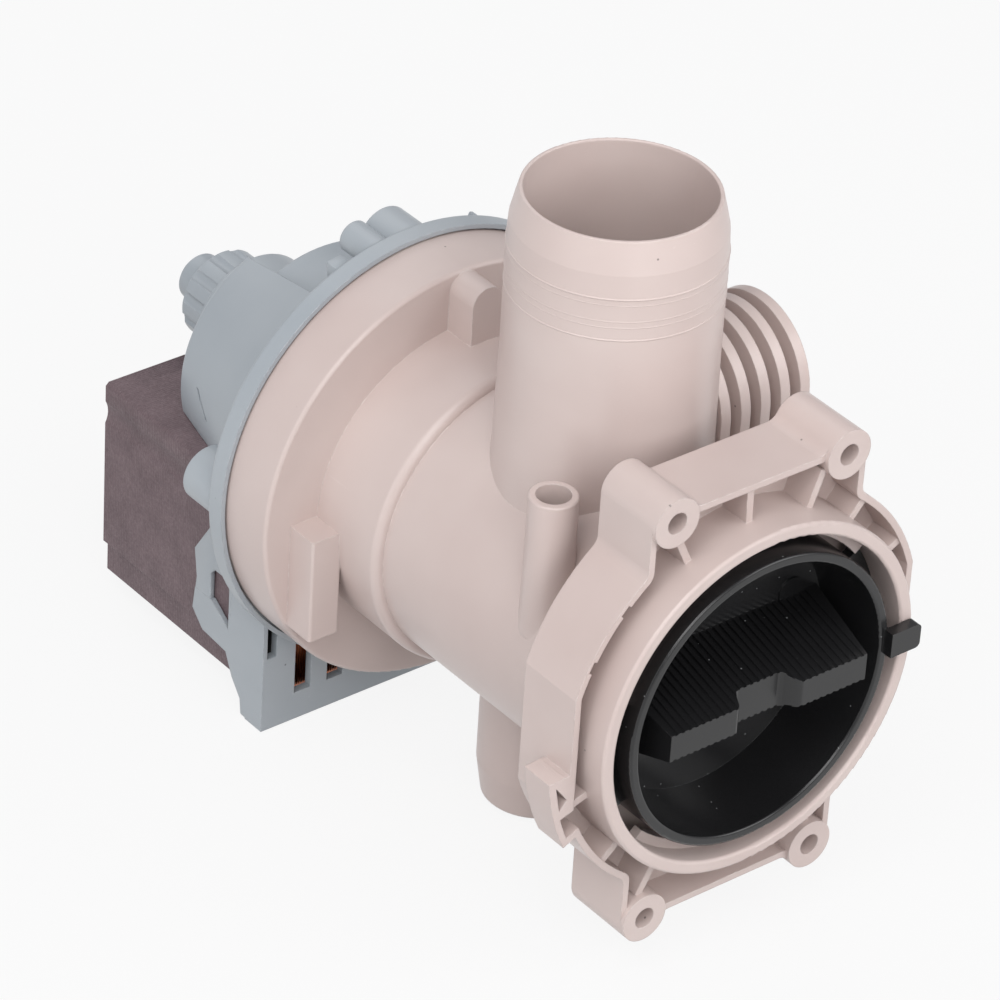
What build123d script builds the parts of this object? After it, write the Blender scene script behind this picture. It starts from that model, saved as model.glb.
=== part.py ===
from build123d import *

import os
from math import asin, cos, degrees, pi, radians, sin, sqrt

# Washer drain pump. Millimetres. X to the right and Z up seen from the filter side, Y from the
# filter towards the motor. The origin is the centre of the four flange screws, in the plane of
# their boss faces, and the filter, the impeller and the rotor all turn about the Y axis.

# Clearances shared by all pieces
overrun = 1.0
seat_gap = 0.05
running_gap = 0.05
loose_gap = 0.3

# Screw flange
screw_pitch_x = 44.5
screw_pitch_z = 97.5
screw_hole_r = 2.4
screw_boss_r = 5.6
flange_r = 46.5
flange_flat_x = 44.3
flange_wall = 1.5
flange_depth = 17.0
flange_top_rise = 1.25
flange_blend_r = 3.0
rim_setback = 1.0
recess_depth = 9.0
recess_floor = 2.5
rib_thickness = 1.7
rib_setback = 1.6
rib_angles = (27, 50, 222, 320.5)
long_rib_angles = (69.5, 92.5, 115, 196, 242, 297)
rim_notch_angles = (136.5, 153)
rim_notch_width = 2.6
rim_notch_depth = 1.3
pocket_lobe_r = 49.8
pocket_lobe_depth = 8.0
pocket_lobe_angles = (185, 206)
pocket_depth = 5.5
pocket_corners = ((48.1, 187.0), (45.8, 192.4), (48.1, 194.6))
lobe_window_angles = (197.2, 204)

# Collar round the filter, with two bayonet ridges inside
collar_r = 40.7
collar_wall = 3.05
collar_stand = 4.6
collar_edge_round = 0.7
ridge_height = 2.15
ridge_front = 0.9
ridge_thickness = 2.3
ridge_spans = ((39, 165), (227, 345))

# Filter chamber, neck and volute drum
chamber_r = 34.3
body_wall = 2.3
neck_front = 76.5
neck_r = 36.5
neck_bead_round = 1.8
drum_front = 96.8
drum_r = 49.9
drum_depth = 15.2
drum_edge_round = 0.9
volute_wall = 2.5
volute_r = 39.5
volute_eye_r = 14.5

# Inlet tube
tube_y = 49.4
tube_r = 22.5
tube_wall = 2.8
tube_top_z = 92.9
tube_seat_z = 56.5
tube_swell = 0.9
tube_lead_length = 12.0
tube_lead_heights_share = (0.0, 0.42, 0.71, 1.0)
tube_lead_drop = 2.0
tube_lead_drops_share = (0.0, 0.15, 0.55, 1.0)
tube_rim_round = 0.3

# Small upright spigot and the drain spigot below
vent_x = -28.0
vent_y = 31.0
vent_r = 5.2
vent_wall = 1.5
vent_top_z = 40.5
vent_root_z = 8.0
vent_seat_z = 30.5
vent_swell = 0.35
vent_rim_round = 0.5
drain_y = 63.0
drain_r = 13.25
drain_wall = 2.5
drain_end_z = -63.0
drain_seat_z = -39.5
drain_swell = 0.9
drain_lead_length = 8.0
drain_lead_drop = 1.2

# Outlet spigot beside the inlet tube
outlet_y = 101.0
outlet_z = 30.0
outlet_r = 10.75
outlet_wall = 2.35
outlet_end_x = 63.0
outlet_root_x = 18.0
outlet_seat_x = 50.5
outlet_swell = 0.5
outlet_bore_root_x = 31.0
outlet_lead_length = 4.0
outlet_lead_drop = 0.9

# Ribbed side chamber
arch_y = 49.0
arch_z = 39.0
arch_rib_r = 16.0
arch_groove_depth = 5.0
arch_wall = 2.5
arch_rib_count = 5
arch_rib_pitch = 5.3
arch_rib_thickness = 2.5
arch_end_x = 41.0
arch_foot_z = 12.0

# Lugs on the front of the drum
lug_depth = 8.0
lug_side_x = 35.7
lug_side_width = 7.6
lug_side_top_z = 1.4
lug_side_height = 25.2
lug_top_x = 0.0
lug_top_width = 7.9
lug_top_z = 49.4
lug_edge_round = 0.6

# Motor screws through the disc into the drum
motor_screw_circle_r = 44.4
motor_screw_angles = (0, 90, 180)
motor_screw_r = 1.5
motor_screw_head_r = 3.6
motor_screw_head_height = 2.4
motor_screw_grip = 7.0
motor_screw_boss_r = 3.6
drum_rim_wall = 2.4

# Filter cap
cap_r = 33.9
cap_front = -4.9
cup_r = 31.7
cup_floor_r = 30.0
cup_floor_y = 12.0
cup_floor_thickness = 2.5
cup_edge_round = 0.6
plug_r = 31.6
plug_back_y = 20.4
plug_wall = 1.5
lug_front_gap = 0.3
cap_lug_thickness = 2.5
cap_lug_arc = 44.0
cap_lug_angles = (12, 192)
grip_front_y = -7.5
grip_half_x = 25.8
grip_half_z = 3.15
grip_draft = 0.275
grip_end_draft = 0.12
grip_notch_depth = 4.0
grip_notch_half_x = 8.1
grip_notch_floor_half_x = 6.0
grip_notch_round = 1.3
grip_groove_pitch = 1.75
grip_groove_width = 0.8
grip_groove_depth = 0.5
grip_plain_x = 2.4
tab_reach = 40.4
tab_root_x = 32.5
tab_middle_z = 2.2
tab_half_z = 2.9
tab_edge_round = 1.2
cap_stub_r = 6.0
cap_stub_head_r = 6.9
cap_stub_head_length = 1.4
cap_mark_x = 21.1
cap_mark_z = 9.4
cap_mark_r = 3.2
cap_mark_height = 0.4

# Filter seal in its groove on the plug
seal_section_r = 1.3
seal_y = 17.2
seal_bore_gap = 0.08

# Filter basket
basket_r = 29.5
basket_wall = 1.7
basket_front_y = 20.8
basket_back_y = 72.0
basket_plate = 3.2
basket_end_plate = 2.2
basket_window_arc = 110.0
basket_window_margin = 6.0
basket_slot_width = 3.2
basket_slot_angles = (160, 178, 196, 214, 232, 250, 290, 308, 326, 344, 2, 20)
basket_hole_r = 2.6
basket_hole_rings = ((9.0, 6), (17.5, 12))
basket_spoke_hole_r = 6.0
basket_spoke_circle_r = 17.5
basket_spoke_count = 6
basket_key_half_x = 1.6
basket_key_height = 1.9
basket_key_length = 26.0
key_rail_thickness = 1.5
key_rail_height = 1.4

# Impeller and its lost-motion driver
impeller_r = 21.0
impeller_front_gap = 0.6
impeller_blade_width = 8.7
impeller_blade_thickness = 1.6
impeller_blade_count = 8
impeller_plate = 1.2
impeller_hub_r = 7.2
hub_bore_r = 5.3
hub_nose_wall = 1.1
hub_journal_length = 1.4
hub_key_arc = 30.0
driver_core_r = 3.1
driver_dog_arc = 30.0

# Shaft, magnet and bushes
shaft_r = 2.0
shaft_chamfer = 0.25
shaft_back_length = 1.6
magnet_r = 12.0
magnet_length = 27.0
magnet_cap_thickness = 1.4
magnet_cap_r = 12.3
bush_r = 4.5
bush_length = 6.0
bush_seat_r = 8.0
washer_r = 4.2
washer_thickness = 1.0

# Bearing plate at the mouth of the can
bearing_plate_r = 18.5
bearing_plate_thickness = 1.5
bearing_plate_socket_wall = 1.6
bearing_plate_spigot_wall = 1.2
bearing_plate_spigot_length = 3.0
shaft_hole_gap = 0.6
shaft_seal_thickness = 1.2

# Rotor can with its fluted rear end
can_wall = 1.1
can_r = 14.2
can_flange_r = 19.6
can_flange_thickness = 1.4
can_collar_r = 15.5
can_collar_front_y = 158.0
can_collar_back_y = 170.0
knob_r = 10.8
knob_back_y = 183.5
knob_edge = 1.6
knob_flute_count = 12
knob_flute_r = 1.5
knob_flute_depth = 0.8
knob_tip_r = 5.7
knob_tip_back_y = 191.4
knob_tip_round = 1.0

# Motor disc, its bosses, the cover over the poles and the tapering hood beside it
disc_r = 51.5
disc_thickness = 3.4
disc_lip_wall = 1.1
disc_lip_length = 1.8
disc_edge_round = 1.3
disc_boss_r = 6.5
disc_boss_length = 9.4
disc_bump_x = -8.3
disc_bump_z = 46.6
disc_bump_r = 3.7
disc_bump_length = 9.1
oring_r = 40.8
oring_section_r = 1.0
cover_r = 31.1
cover_wall = 2.2
cover_back_y = 146.0
hood_root_r = 39.0
hood_back_r = 29.6
hood_back_y = 156.3
hood_span = (115, 193)
cover_edge_round = 1.2
hood_slot_points = ((147.8, 4.4), (146.8, 4.4), (141.2, -0.4), (142.2, -0.4))
hood_slot_inner_x = -26.0
cover_foot_gap = 0.2

# Slotted frame under the disc
frame_half_x = 37.3
frame_bottom_z = -63.8
frame_setback = 0.5
frame_front_wall = 2.0
frame_side_gap = 0.15
frame_floor_depth = 6.0
frame_floor_wall = 1.4
frame_slot_pitch = 8.8
frame_slot_width = 4.4
frame_slot_count = 7
frame_slot_bottom_z = -56.8
frame_corner_slot_width = 2.5
frame_corner_slot_x = 35.0
frame_corner_slot_bottom_z = -45.0
frame_corner_slot_top_z = -26.0

# Outline of a frame side, as (depth behind the disc front, height) pairs
frame_side_points = (
    (0.5, -63.8),
    (8.1, -63.4),
    (8.6, -59.6),
    (11.8, -55.6),
    (14.3, -50.4),
    (23.0, -49.6),
    (26.9, -45.8),
    (25.7, -37.0),
    (26.7, -30.0),
    (21.5, -22.0),
    (20.5, -17.0),
    (4.5, -9.0),
    (0.5, -9.0),
)
frame_window_points = ((20.4, -31.7), (13.6, -31.7), (13.6, -44.3), (20.4, -39.6))
frame_window_round = 2.4

# Laminated core, yoke bar, pole shoes and rivets
core_half_x = 36.0
core_top_z = -7.4
core_bottom_z = -57.2
core_front_y = 125.0
core_back_y = 175.0
core_joint_z = -49.2
core_limb = 7.7
core_head = 9.0
core_bridge_gap = 0.4
core_groove_z = -15.0
core_groove_r = 6.0
core_groove_depth = 0.7
yoke_inset = 1.2
core_edge = 0.8
shoe_arc = 76.0
shoe_length = 18.5
rivet_r = 1.5
rivet_head_r = 2.4
rivet_head_height = 0.9
rivet_inset = 3.9

# Bobbin, winding and terminals
bobbin_wall = 0.9
bobbin_flange = 1.2
winding_depth = 5.0
winding_end_gap = 0.05
winding_corner_share = 0.6
terminal_block_half_x = 11.0
terminal_block_height = 11.0
terminal_block_depth = 18.0
terminal_block_overhang = 2.0
blade_spacing = 11.0
blade_width = 6.3
blade_thickness = 0.8
blade_length = 14.0
blade_depth = 7.0
blade_hole_r = 0.8


# Places that follow from the sizes above
screw_places = tuple(
    (sx * screw_pitch_x / 2, sz * screw_pitch_z / 2) for sx in (-1, 1) for sz in (-1, 1)
)
ear_half_x = screw_pitch_x / 2 + screw_boss_r
flange_top_z = screw_pitch_z / 2 + flange_top_rise
recess_back = recess_depth + recess_floor
collar_bore_r = collar_r - collar_wall
chamber_bore_r = chamber_r - body_wall
neck_bore_r = neck_r - body_wall
drum_back = drum_front + drum_depth
volute_front = drum_front + volute_wall
volute_ring_r = volute_r + volute_wall
drum_core_r = drum_r - drum_rim_wall
disc_back = drum_back + disc_thickness
boss_back = disc_back + disc_boss_length
lug_front = ridge_front + ridge_thickness + lug_front_gap
front_bush_y = drum_back + shaft_seal_thickness + loose_gap
front_washer_y = front_bush_y + bush_length + loose_gap
front_cap_y = front_washer_y + washer_thickness
magnet_front_y = front_cap_y + magnet_cap_thickness
magnet_back_y = magnet_front_y + magnet_length
rear_cap_y = magnet_back_y
rear_washer_y = rear_cap_y + magnet_cap_thickness
rear_bush_y = rear_washer_y + washer_thickness + loose_gap
rear_bush_back_y = rear_bush_y + bush_length
shaft_back_y = rear_bush_back_y + shaft_back_length
seal_ring_r = chamber_bore_r - seal_bore_gap - seal_section_r
seal_groove_r = seal_ring_r - seal_section_r - seat_gap
cap_back_y = recess_depth - loose_gap
cap_floor_back_y = cup_floor_y + cup_floor_thickness
cap_lug_r = collar_bore_r - loose_gap
basket_bore_r = basket_r - basket_wall
hub_key_r = driver_core_r + loose_gap
driver_dog_r = hub_bore_r - loose_gap
bearing_plate_front_y = drum_back - bearing_plate_thickness
bush_bore_r = shaft_r + running_gap
seat_bore_r = bush_r + seat_gap
impeller_front_y = volute_front + impeller_front_gap
impeller_blade_back = impeller_front_y + impeller_blade_width
impeller_back_y = impeller_blade_back + impeller_plate
shaft_front_y = impeller_front_y + hub_nose_wall + loose_gap
hub_cavity_front = impeller_front_y + hub_nose_wall + hub_journal_length
can_bore_r = can_r - can_wall
core_axis_gap = can_r + loose_gap
window_half_x = core_half_x - core_limb
window_top_z = -core_axis_gap - core_head
bobbin_half_x = window_half_x - loose_gap
winding_half_x = bobbin_half_x - bobbin_flange
bobbin_y = (core_front_y - bobbin_wall - seat_gap, core_back_y + bobbin_wall + seat_gap)
bobbin_z = (core_bottom_z - bobbin_wall - seat_gap, core_joint_z + bobbin_wall + seat_gap)
winding_y = (bobbin_y[0] - winding_depth, bobbin_y[1] + winding_depth)
winding_z = (bobbin_z[0] - winding_depth, bobbin_z[1] + winding_depth)
terminal_block_back_y = winding_y[1] + terminal_block_overhang
terminal_block_z = winding_z[1] + seat_gap


def rod_y(radius, front, back, x=0, z=0, mode=Mode.ADD):
    """A cylinder along Y from front to back."""
    with Locations((x, (front + back) / 2, z)):
        Cylinder(radius, back - front, rotation=(90, 0, 0), mode=mode)


def rod_z(radius, bottom, top, x=0, y=0, mode=Mode.ADD):
    """An upright cylinder from bottom to top."""
    with Locations((x, y, (bottom + top) / 2)):
        Cylinder(radius, top - bottom, mode=mode)


def rod_x(radius, left, right, y=0, z=0, mode=Mode.ADD):
    """A cylinder along X from left to right."""
    with Locations(((left + right) / 2, y, z)):
        Cylinder(radius, right - left, rotation=(0, 90, 0), mode=mode)


def block(x_span, y_span, z_span, mode=Mode.ADD):
    """A box between two values on each axis."""
    middle = tuple(sum(span) / 2 for span in (x_span, y_span, z_span))
    with Locations(middle):
        Box(*(span[1] - span[0] for span in (x_span, y_span, z_span)), mode=mode)


def half_plane(angle):
    """The plane through the Y axis and the radius at an angle from +X towards +Z."""
    turn = radians(angle)
    return Plane(origin=(0, 0, 0), x_dir=(0, 1, 0), z_dir=(sin(turn), 0, -cos(turn)))


def ring_sector(inner_r, outer_r, front, back, start, end, mode=Mode.ADD):
    """A part of a ring about the Y axis, between two angles."""
    with BuildSketch(half_plane(end)) as profile:
        with Locations(((front + back) / 2, (inner_r + outer_r) / 2)):
            Rectangle(back - front, outer_r - inner_r)
    revolve(profile.sketch, axis=Axis.Y, revolution_arc=end - start, mode=mode)


def cone_sector(front_r, back_r, front, back, start, end, mode=Mode.ADD):
    """A part of a cone about the Y axis, between two angles."""
    with BuildSketch(half_plane(end)) as profile:
        with BuildLine():
            Polyline((front, 0), (front, front_r), (back, back_r), (back, 0), close=True)
        make_face()
    revolve(profile.sketch, axis=Axis.Y, revolution_arc=end - start, mode=mode)


def turned_y(points, mode=Mode.ADD):
    """A body turned about the Y axis from (y, radius) points."""
    with BuildSketch(Plane.YZ) as profile:
        with BuildLine():
            Polyline(*points, close=True)
        make_face()
    revolve(profile.sketch, axis=Axis.Y, mode=mode)


def prism_y(points, front, back, mode=Mode.ADD):
    """A prism along Y from (x, z) points."""
    with BuildSketch(Plane.XZ.offset(-back)) as profile:
        with BuildLine():
            Polyline(*points, close=True)
        make_face()
    extrude(profile.sketch, amount=back - front, mode=mode)


def prism_x(points, left, right, mode=Mode.ADD):
    """A prism along X from (y, z) points."""
    with BuildSketch(Plane.YZ.offset(left)) as profile:
        with BuildLine():
            Polyline(*points, close=True)
        make_face()
    extrude(profile.sketch, amount=right - left, mode=mode)


def polar(radius, angle):
    """The (x, z) place at a radius and an angle from +X towards +Z."""
    return radius * cos(radians(angle)), radius * sin(radians(angle))


def flange_outline(inset, back, front):
    """The flange block inside its outer outline, drawn in by an inset."""
    with BuildSketch(Plane.XZ.offset(-back)) as outline:
        Circle(flange_r - inset)
        Rectangle(2 * (flange_flat_x - inset), 2 * flange_r, mode=Mode.INTERSECT)
        Rectangle(2 * (ear_half_x - inset), screw_pitch_z - 2 * inset)
        Rectangle(screw_pitch_x, 2 * (flange_top_z - inset))
        with Locations(*screw_places):
            Circle(screw_boss_r - inset)
        foot_x = ear_half_x - inset
        foot_z = sqrt((flange_r - inset) ** 2 - foot_x**2)
        brow_z = flange_top_z - inset
        brow_rise = brow_z - screw_pitch_z / 2
        brow_x = screw_pitch_x / 2 - sqrt((screw_boss_r - inset) ** 2 - brow_rise**2)
        for side_x in (-1, 1):
            for side_z in (-1, 1):
                foot = corner_at(outline, side_x * foot_x, side_z * foot_z)
                brow = corner_at(outline, side_x * brow_x, side_z * brow_z)
                fillet(foot + brow, flange_blend_r)
    return outline.sketch, back - front


def arch(radius, bottom, left, right, mode=Mode.ADD):
    """An upright arch, round at the top, run along X."""
    with BuildSketch(Plane.YZ.offset(left)) as profile:
        with Locations((arch_y, arch_z)):
            Circle(radius)
        with Locations((arch_y, (bottom + arch_z) / 2)):
            Rectangle(2 * radius, arch_z - bottom)
    extrude(profile.sketch, amount=right - left, mode=mode)


def corner_at(sketch, x, y):
    """The corners of a sketch at one place in its own plane."""
    return [v for v in sketch.vertices() if abs(v.X - x) < seat_gap and abs(v.Y - y) < seat_gap]


def edges_at(part, radius, y):
    """The circular edges of a radius about the Y axis at one depth."""
    tolerance = seat_gap / 2
    return [
        edge
        for edge in part.edges().filter_by(GeomType.CIRCLE)
        if abs(edge.radius - radius) < tolerance
        and abs(edge.arc_center.Y - y) < tolerance
        and abs(edge.arc_center.X) < tolerance
        and abs(edge.arc_center.Z) < tolerance
    ]


# Pump housing: filter chamber, flange, collar, spigots and volute drum in one moulding
with BuildPart() as pump_housing:
    # Flange block, hollowed from both sides about its floor
    face, length = flange_outline(0, flange_depth, rim_setback)
    extrude(face, amount=length)
    face, length = flange_outline(flange_wall, recess_depth, rim_setback - overrun)
    extrude(face, amount=length, mode=Mode.SUBTRACT)
    face, length = flange_outline(flange_wall, flange_depth + overrun, recess_back)
    extrude(face, amount=length, mode=Mode.SUBTRACT)
    for place in screw_places:
        rod_y(screw_boss_r, 0, flange_depth, *place)

    # Lobe on the left side of the rim, opened to the recess below its rib
    ring_sector(
        flange_r - flange_wall / 2,
        pocket_lobe_r,
        rim_setback,
        rim_setback + pocket_lobe_depth,
        *pocket_lobe_angles,
    )
    lobe_top_z = -flange_r * sin(radians(pocket_lobe_angles[0] - 180))
    block(
        (-flange_r, -flange_flat_x + flange_wall / 2),
        (rim_setback, rim_setback + pocket_lobe_depth),
        (-sqrt(flange_r**2 - flange_flat_x**2), lobe_top_z),
    )
    ring_sector(
        collar_r,
        pocket_lobe_r - flange_wall,
        rim_setback - overrun,
        rim_setback + pocket_depth,
        *lobe_window_angles,
        mode=Mode.SUBTRACT,
    )
    pocket = [polar(radius, angle) for radius, angle in pocket_corners]
    prism_y(pocket, rim_setback - overrun, rim_setback + pocket_depth, mode=Mode.SUBTRACT)

    # Radial ribs of the recess, the long ones out to the brows and the lobe
    short_reach = flange_r - flange_wall / 2
    long_reach = flange_top_z - flange_wall / 2
    for angles, reach in ((rib_angles, short_reach), (long_rib_angles, long_reach)):
        middle_r = (collar_r - collar_wall / 2 + reach) / 2
        for angle in angles:
            with BuildSketch(Plane.XZ.offset(-recess_depth)) as rib:
                with Locations(Location((*polar(middle_r, angle), 0), (0, 0, angle))):
                    Rectangle(reach - collar_r + collar_wall / 2, rib_thickness)
            extrude(rib.sketch, amount=recess_depth - rib_setback)
    for angle in rim_notch_angles:
        with BuildSketch(Plane.XZ.offset(-rim_setback - rim_notch_depth)) as notch:
            with Locations(Location((*polar(flange_r - flange_wall, angle), 0), (0, 0, angle))):
                Rectangle(flange_wall, rim_notch_width)
        extrude(notch.sketch, amount=rim_notch_depth + overrun, mode=Mode.SUBTRACT)

    # Turned outside of collar, chamber, neck and drum
    rod_y(collar_r, -collar_stand, recess_back)
    with BuildSketch(Plane.YZ) as turned_profile:
        with BuildLine():
            Polyline(
                (recess_depth, 0),
                (recess_depth, chamber_r),
                (neck_front, chamber_r),
                (neck_front, neck_r),
                (drum_front, neck_r),
                (drum_front, drum_r),
                (drum_back, drum_r),
                (drum_back, 0),
                close=True,
            )
        make_face()
        fillet(corner_at(turned_profile, neck_front, neck_r), neck_bead_round)
        fillet(corner_at(turned_profile, drum_front, drum_r), drum_edge_round)
    revolve(turned_profile.sketch, axis=Axis.Y)

    # Inlet tube: drafted root, straight hose seat, drawn in towards its rim
    tube_profile = [(0, 0), (tube_r + tube_swell, 0), (tube_r, tube_seat_z)]
    for height_share, drop_share in zip(tube_lead_heights_share, tube_lead_drops_share):
        height = tube_top_z - tube_lead_length * (1 - height_share)
        tube_profile.append((tube_r - tube_lead_drop * drop_share, height))
    tube_profile.append((0, tube_top_z))
    with BuildSketch(Plane.XZ.offset(-tube_y)) as tube_half:
        with BuildLine():
            Polyline(*tube_profile, close=True)
        make_face()
    revolve(tube_half.sketch, axis=Axis((0, tube_y, 0), (0, 0, 1)))

    # Upright vent spigot on the chamber's shoulder, its seat above a drafted root
    rod_z(vent_r, vent_seat_z, vent_top_z, vent_x, vent_y)
    with Locations((vent_x, vent_y, (vent_root_z + vent_seat_z) / 2)):
        Cone(vent_r + vent_swell, vent_r, vent_seat_z - vent_root_z)

    # Drain spigot below the chamber, its seat between a drafted root and a drawn-in end
    rod_z(drain_r, drain_end_z + drain_lead_length, drain_seat_z, 0, drain_y)
    with Locations((0, drain_y, drain_seat_z / 2)):
        Cone(drain_r, drain_r + drain_swell, -drain_seat_z)
    with Locations((0, drain_y, drain_end_z + drain_lead_length / 2)):
        Cone(drain_r - drain_lead_drop, drain_r, drain_lead_length)

    # Ribbed side chamber: one arch with equal ribs along X
    arch_left = arch_end_x - arch_rib_thickness - (arch_rib_count - 1) * arch_rib_pitch
    arch_core_r = arch_rib_r - arch_groove_depth
    arch(arch_core_r, arch_foot_z, arch_left, arch_end_x)
    for count in range(arch_rib_count):
        left = arch_left + count * arch_rib_pitch
        arch(arch_rib_r, arch_foot_z, left, left + arch_rib_thickness)

    # Lugs on the front of the drum: two square ones beside the neck, one with an arched top
    for side in (-1, 1):
        with BuildSketch(Plane.XY.offset(lug_side_top_z - lug_side_height)) as lug_face:
            lug_x = side * (lug_side_x + lug_side_width / 2)
            with Locations((lug_x, drum_front - lug_depth / 2 + overrun / 2)):
                Rectangle(lug_side_width, lug_depth + overrun)
            fillet(lug_face.vertices().group_by(Axis.Y)[0], lug_edge_round)
        extrude(lug_face.sketch, amount=lug_side_height)
    with BuildSketch(Plane.XZ.offset(lug_depth - drum_front)) as lug_face:
        arch_middle_z = lug_top_z - lug_top_width / 2
        with Locations((lug_top_x, arch_middle_z)):
            Circle(lug_top_width / 2)
        with Locations((lug_top_x, (neck_r - neck_bead_round + arch_middle_z) / 2)):
            Rectangle(lug_top_width, arch_middle_z - neck_r + neck_bead_round)
    extrude(lug_face.sketch, amount=-lug_depth - overrun)

    # Outlet spigot, tangential to the volute, with a drafted root
    rod_x(outlet_r, outlet_seat_x, outlet_end_x - outlet_lead_length, outlet_y, outlet_z)
    with Locations(((outlet_root_x + outlet_seat_x) / 2, outlet_y, outlet_z)):
        Cone(
            outlet_r + outlet_swell,
            outlet_r,
            outlet_seat_x - outlet_root_x,
            rotation=(0, 90, 0),
        )
    with Locations((outlet_end_x - outlet_lead_length / 2, outlet_y, outlet_z)):
        Cone(
            outlet_r,
            outlet_r - outlet_lead_drop,
            outlet_lead_length,
            rotation=(0, 90, 0),
        )

    # Mouth, chamber, neck, eye and volute
    rod_y(collar_bore_r, -collar_stand - overrun, recess_depth, mode=Mode.SUBTRACT)
    rod_y(chamber_bore_r, recess_depth - overrun, drum_front, mode=Mode.SUBTRACT)
    rod_y(neck_bore_r, neck_front + body_wall, drum_front, mode=Mode.SUBTRACT)
    rod_y(volute_eye_r, drum_front - overrun, volute_front + overrun, mode=Mode.SUBTRACT)
    rod_y(volute_r, volute_front, drum_back + overrun, mode=Mode.SUBTRACT)

    # Cored ring of the drum, kept solid at the screw bosses and at the outlet channel
    with BuildSketch(Plane.XZ.offset(-drum_back - overrun)) as core_ring:
        Circle(drum_core_r)
        Circle(volute_ring_r, mode=Mode.SUBTRACT)
        for angle in motor_screw_angles:
            with Locations(polar(motor_screw_circle_r, angle)):
                Circle(motor_screw_boss_r, mode=Mode.SUBTRACT)
        with Locations((drum_r, outlet_z)):
            Rectangle(2 * (drum_r - outlet_root_x), 2 * outlet_r, mode=Mode.SUBTRACT)
    extrude(core_ring.sketch, amount=drum_depth - volute_wall + overrun, mode=Mode.SUBTRACT)
    for angle in motor_screw_angles:
        x, z = polar(motor_screw_circle_r, angle)
        rod_y(
            motor_screw_r + seat_gap,
            drum_back - motor_screw_grip - overrun,
            drum_back + overrun,
            x,
            z,
            mode=Mode.SUBTRACT,
        )

    # Bores of the tube and the spigots
    tube_bore_r = tube_r - tube_wall
    rod_z(tube_bore_r, chamber_bore_r / 2, tube_top_z + overrun, 0, tube_y, mode=Mode.SUBTRACT)
    rod_z(vent_r - vent_wall, vent_root_z, vent_top_z + overrun, vent_x, vent_y, mode=Mode.SUBTRACT)
    rod_z(
        drain_r - drain_wall,
        drain_end_z - overrun,
        -chamber_bore_r / 2,
        0,
        drain_y,
        mode=Mode.SUBTRACT,
    )
    outlet_bore_r = outlet_r - outlet_wall
    rod_x(
        outlet_bore_r,
        outlet_bore_root_x,
        outlet_end_x + overrun,
        outlet_y,
        outlet_z,
        mode=Mode.SUBTRACT,
    )
    with BuildSketch(Plane.YZ.offset(outlet_root_x)) as outlet_throat:
        with Locations((outlet_y, outlet_z)):
            Circle(outlet_bore_r)
        with Locations((volute_front - outlet_bore_r, outlet_z)):
            Rectangle(2 * outlet_bore_r, 2 * outlet_r, mode=Mode.SUBTRACT)
    extrude(
        outlet_throat.sketch,
        amount=outlet_bore_root_x - outlet_root_x + overrun,
        mode=Mode.SUBTRACT,
    )

    # Hollow of the ribbed chamber, open to the filter chamber
    arch(
        arch_core_r - arch_wall,
        arch_foot_z + arch_wall,
        tube_r + arch_wall,
        arch_end_x - arch_wall,
        mode=Mode.SUBTRACT,
    )

    # Screw holes of the flange
    for place in screw_places:
        rod_y(screw_hole_r, -overrun, flange_depth + overrun, *place, mode=Mode.SUBTRACT)

    # Bayonet ridges inside the collar and two rails that keep the basket upright
    for start, end in ridge_spans:
        ring_sector(
            collar_bore_r - ridge_height,
            collar_bore_r + collar_wall / 2,
            ridge_front,
            ridge_front + ridge_thickness,
            start,
            end,
        )
    rail_inner_x = basket_key_half_x + loose_gap
    for side in (-1, 1):
        rail_x = side * (rail_inner_x + key_rail_thickness / 2)
        block(
            (rail_x - key_rail_thickness / 2, rail_x + key_rail_thickness / 2),
            (basket_front_y, basket_front_y + basket_key_length),
            (-chamber_bore_r - body_wall / 2, -chamber_bore_r + key_rail_height),
        )

    # Rounded edges that show
    fillet(edges_at(pump_housing, collar_r, -collar_stand), collar_edge_round)
    fillet(edges_at(pump_housing, collar_bore_r, -collar_stand), collar_edge_round)
    top_rims = pump_housing.edges().filter_by(GeomType.CIRCLE)
    fillet([e for e in top_rims if abs(e.center().Z - tube_top_z) < seat_gap], tube_rim_round)
    top_rims = pump_housing.edges().filter_by(GeomType.CIRCLE)
    vent_rim = [
        e
        for e in top_rims
        if abs(e.arc_center.Z - vent_top_z) < seat_gap and abs(e.radius - vent_r) < seat_gap
    ]
    fillet(vent_rim, vent_rim_round)

pump_housing.part.label = "pump_housing"



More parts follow.
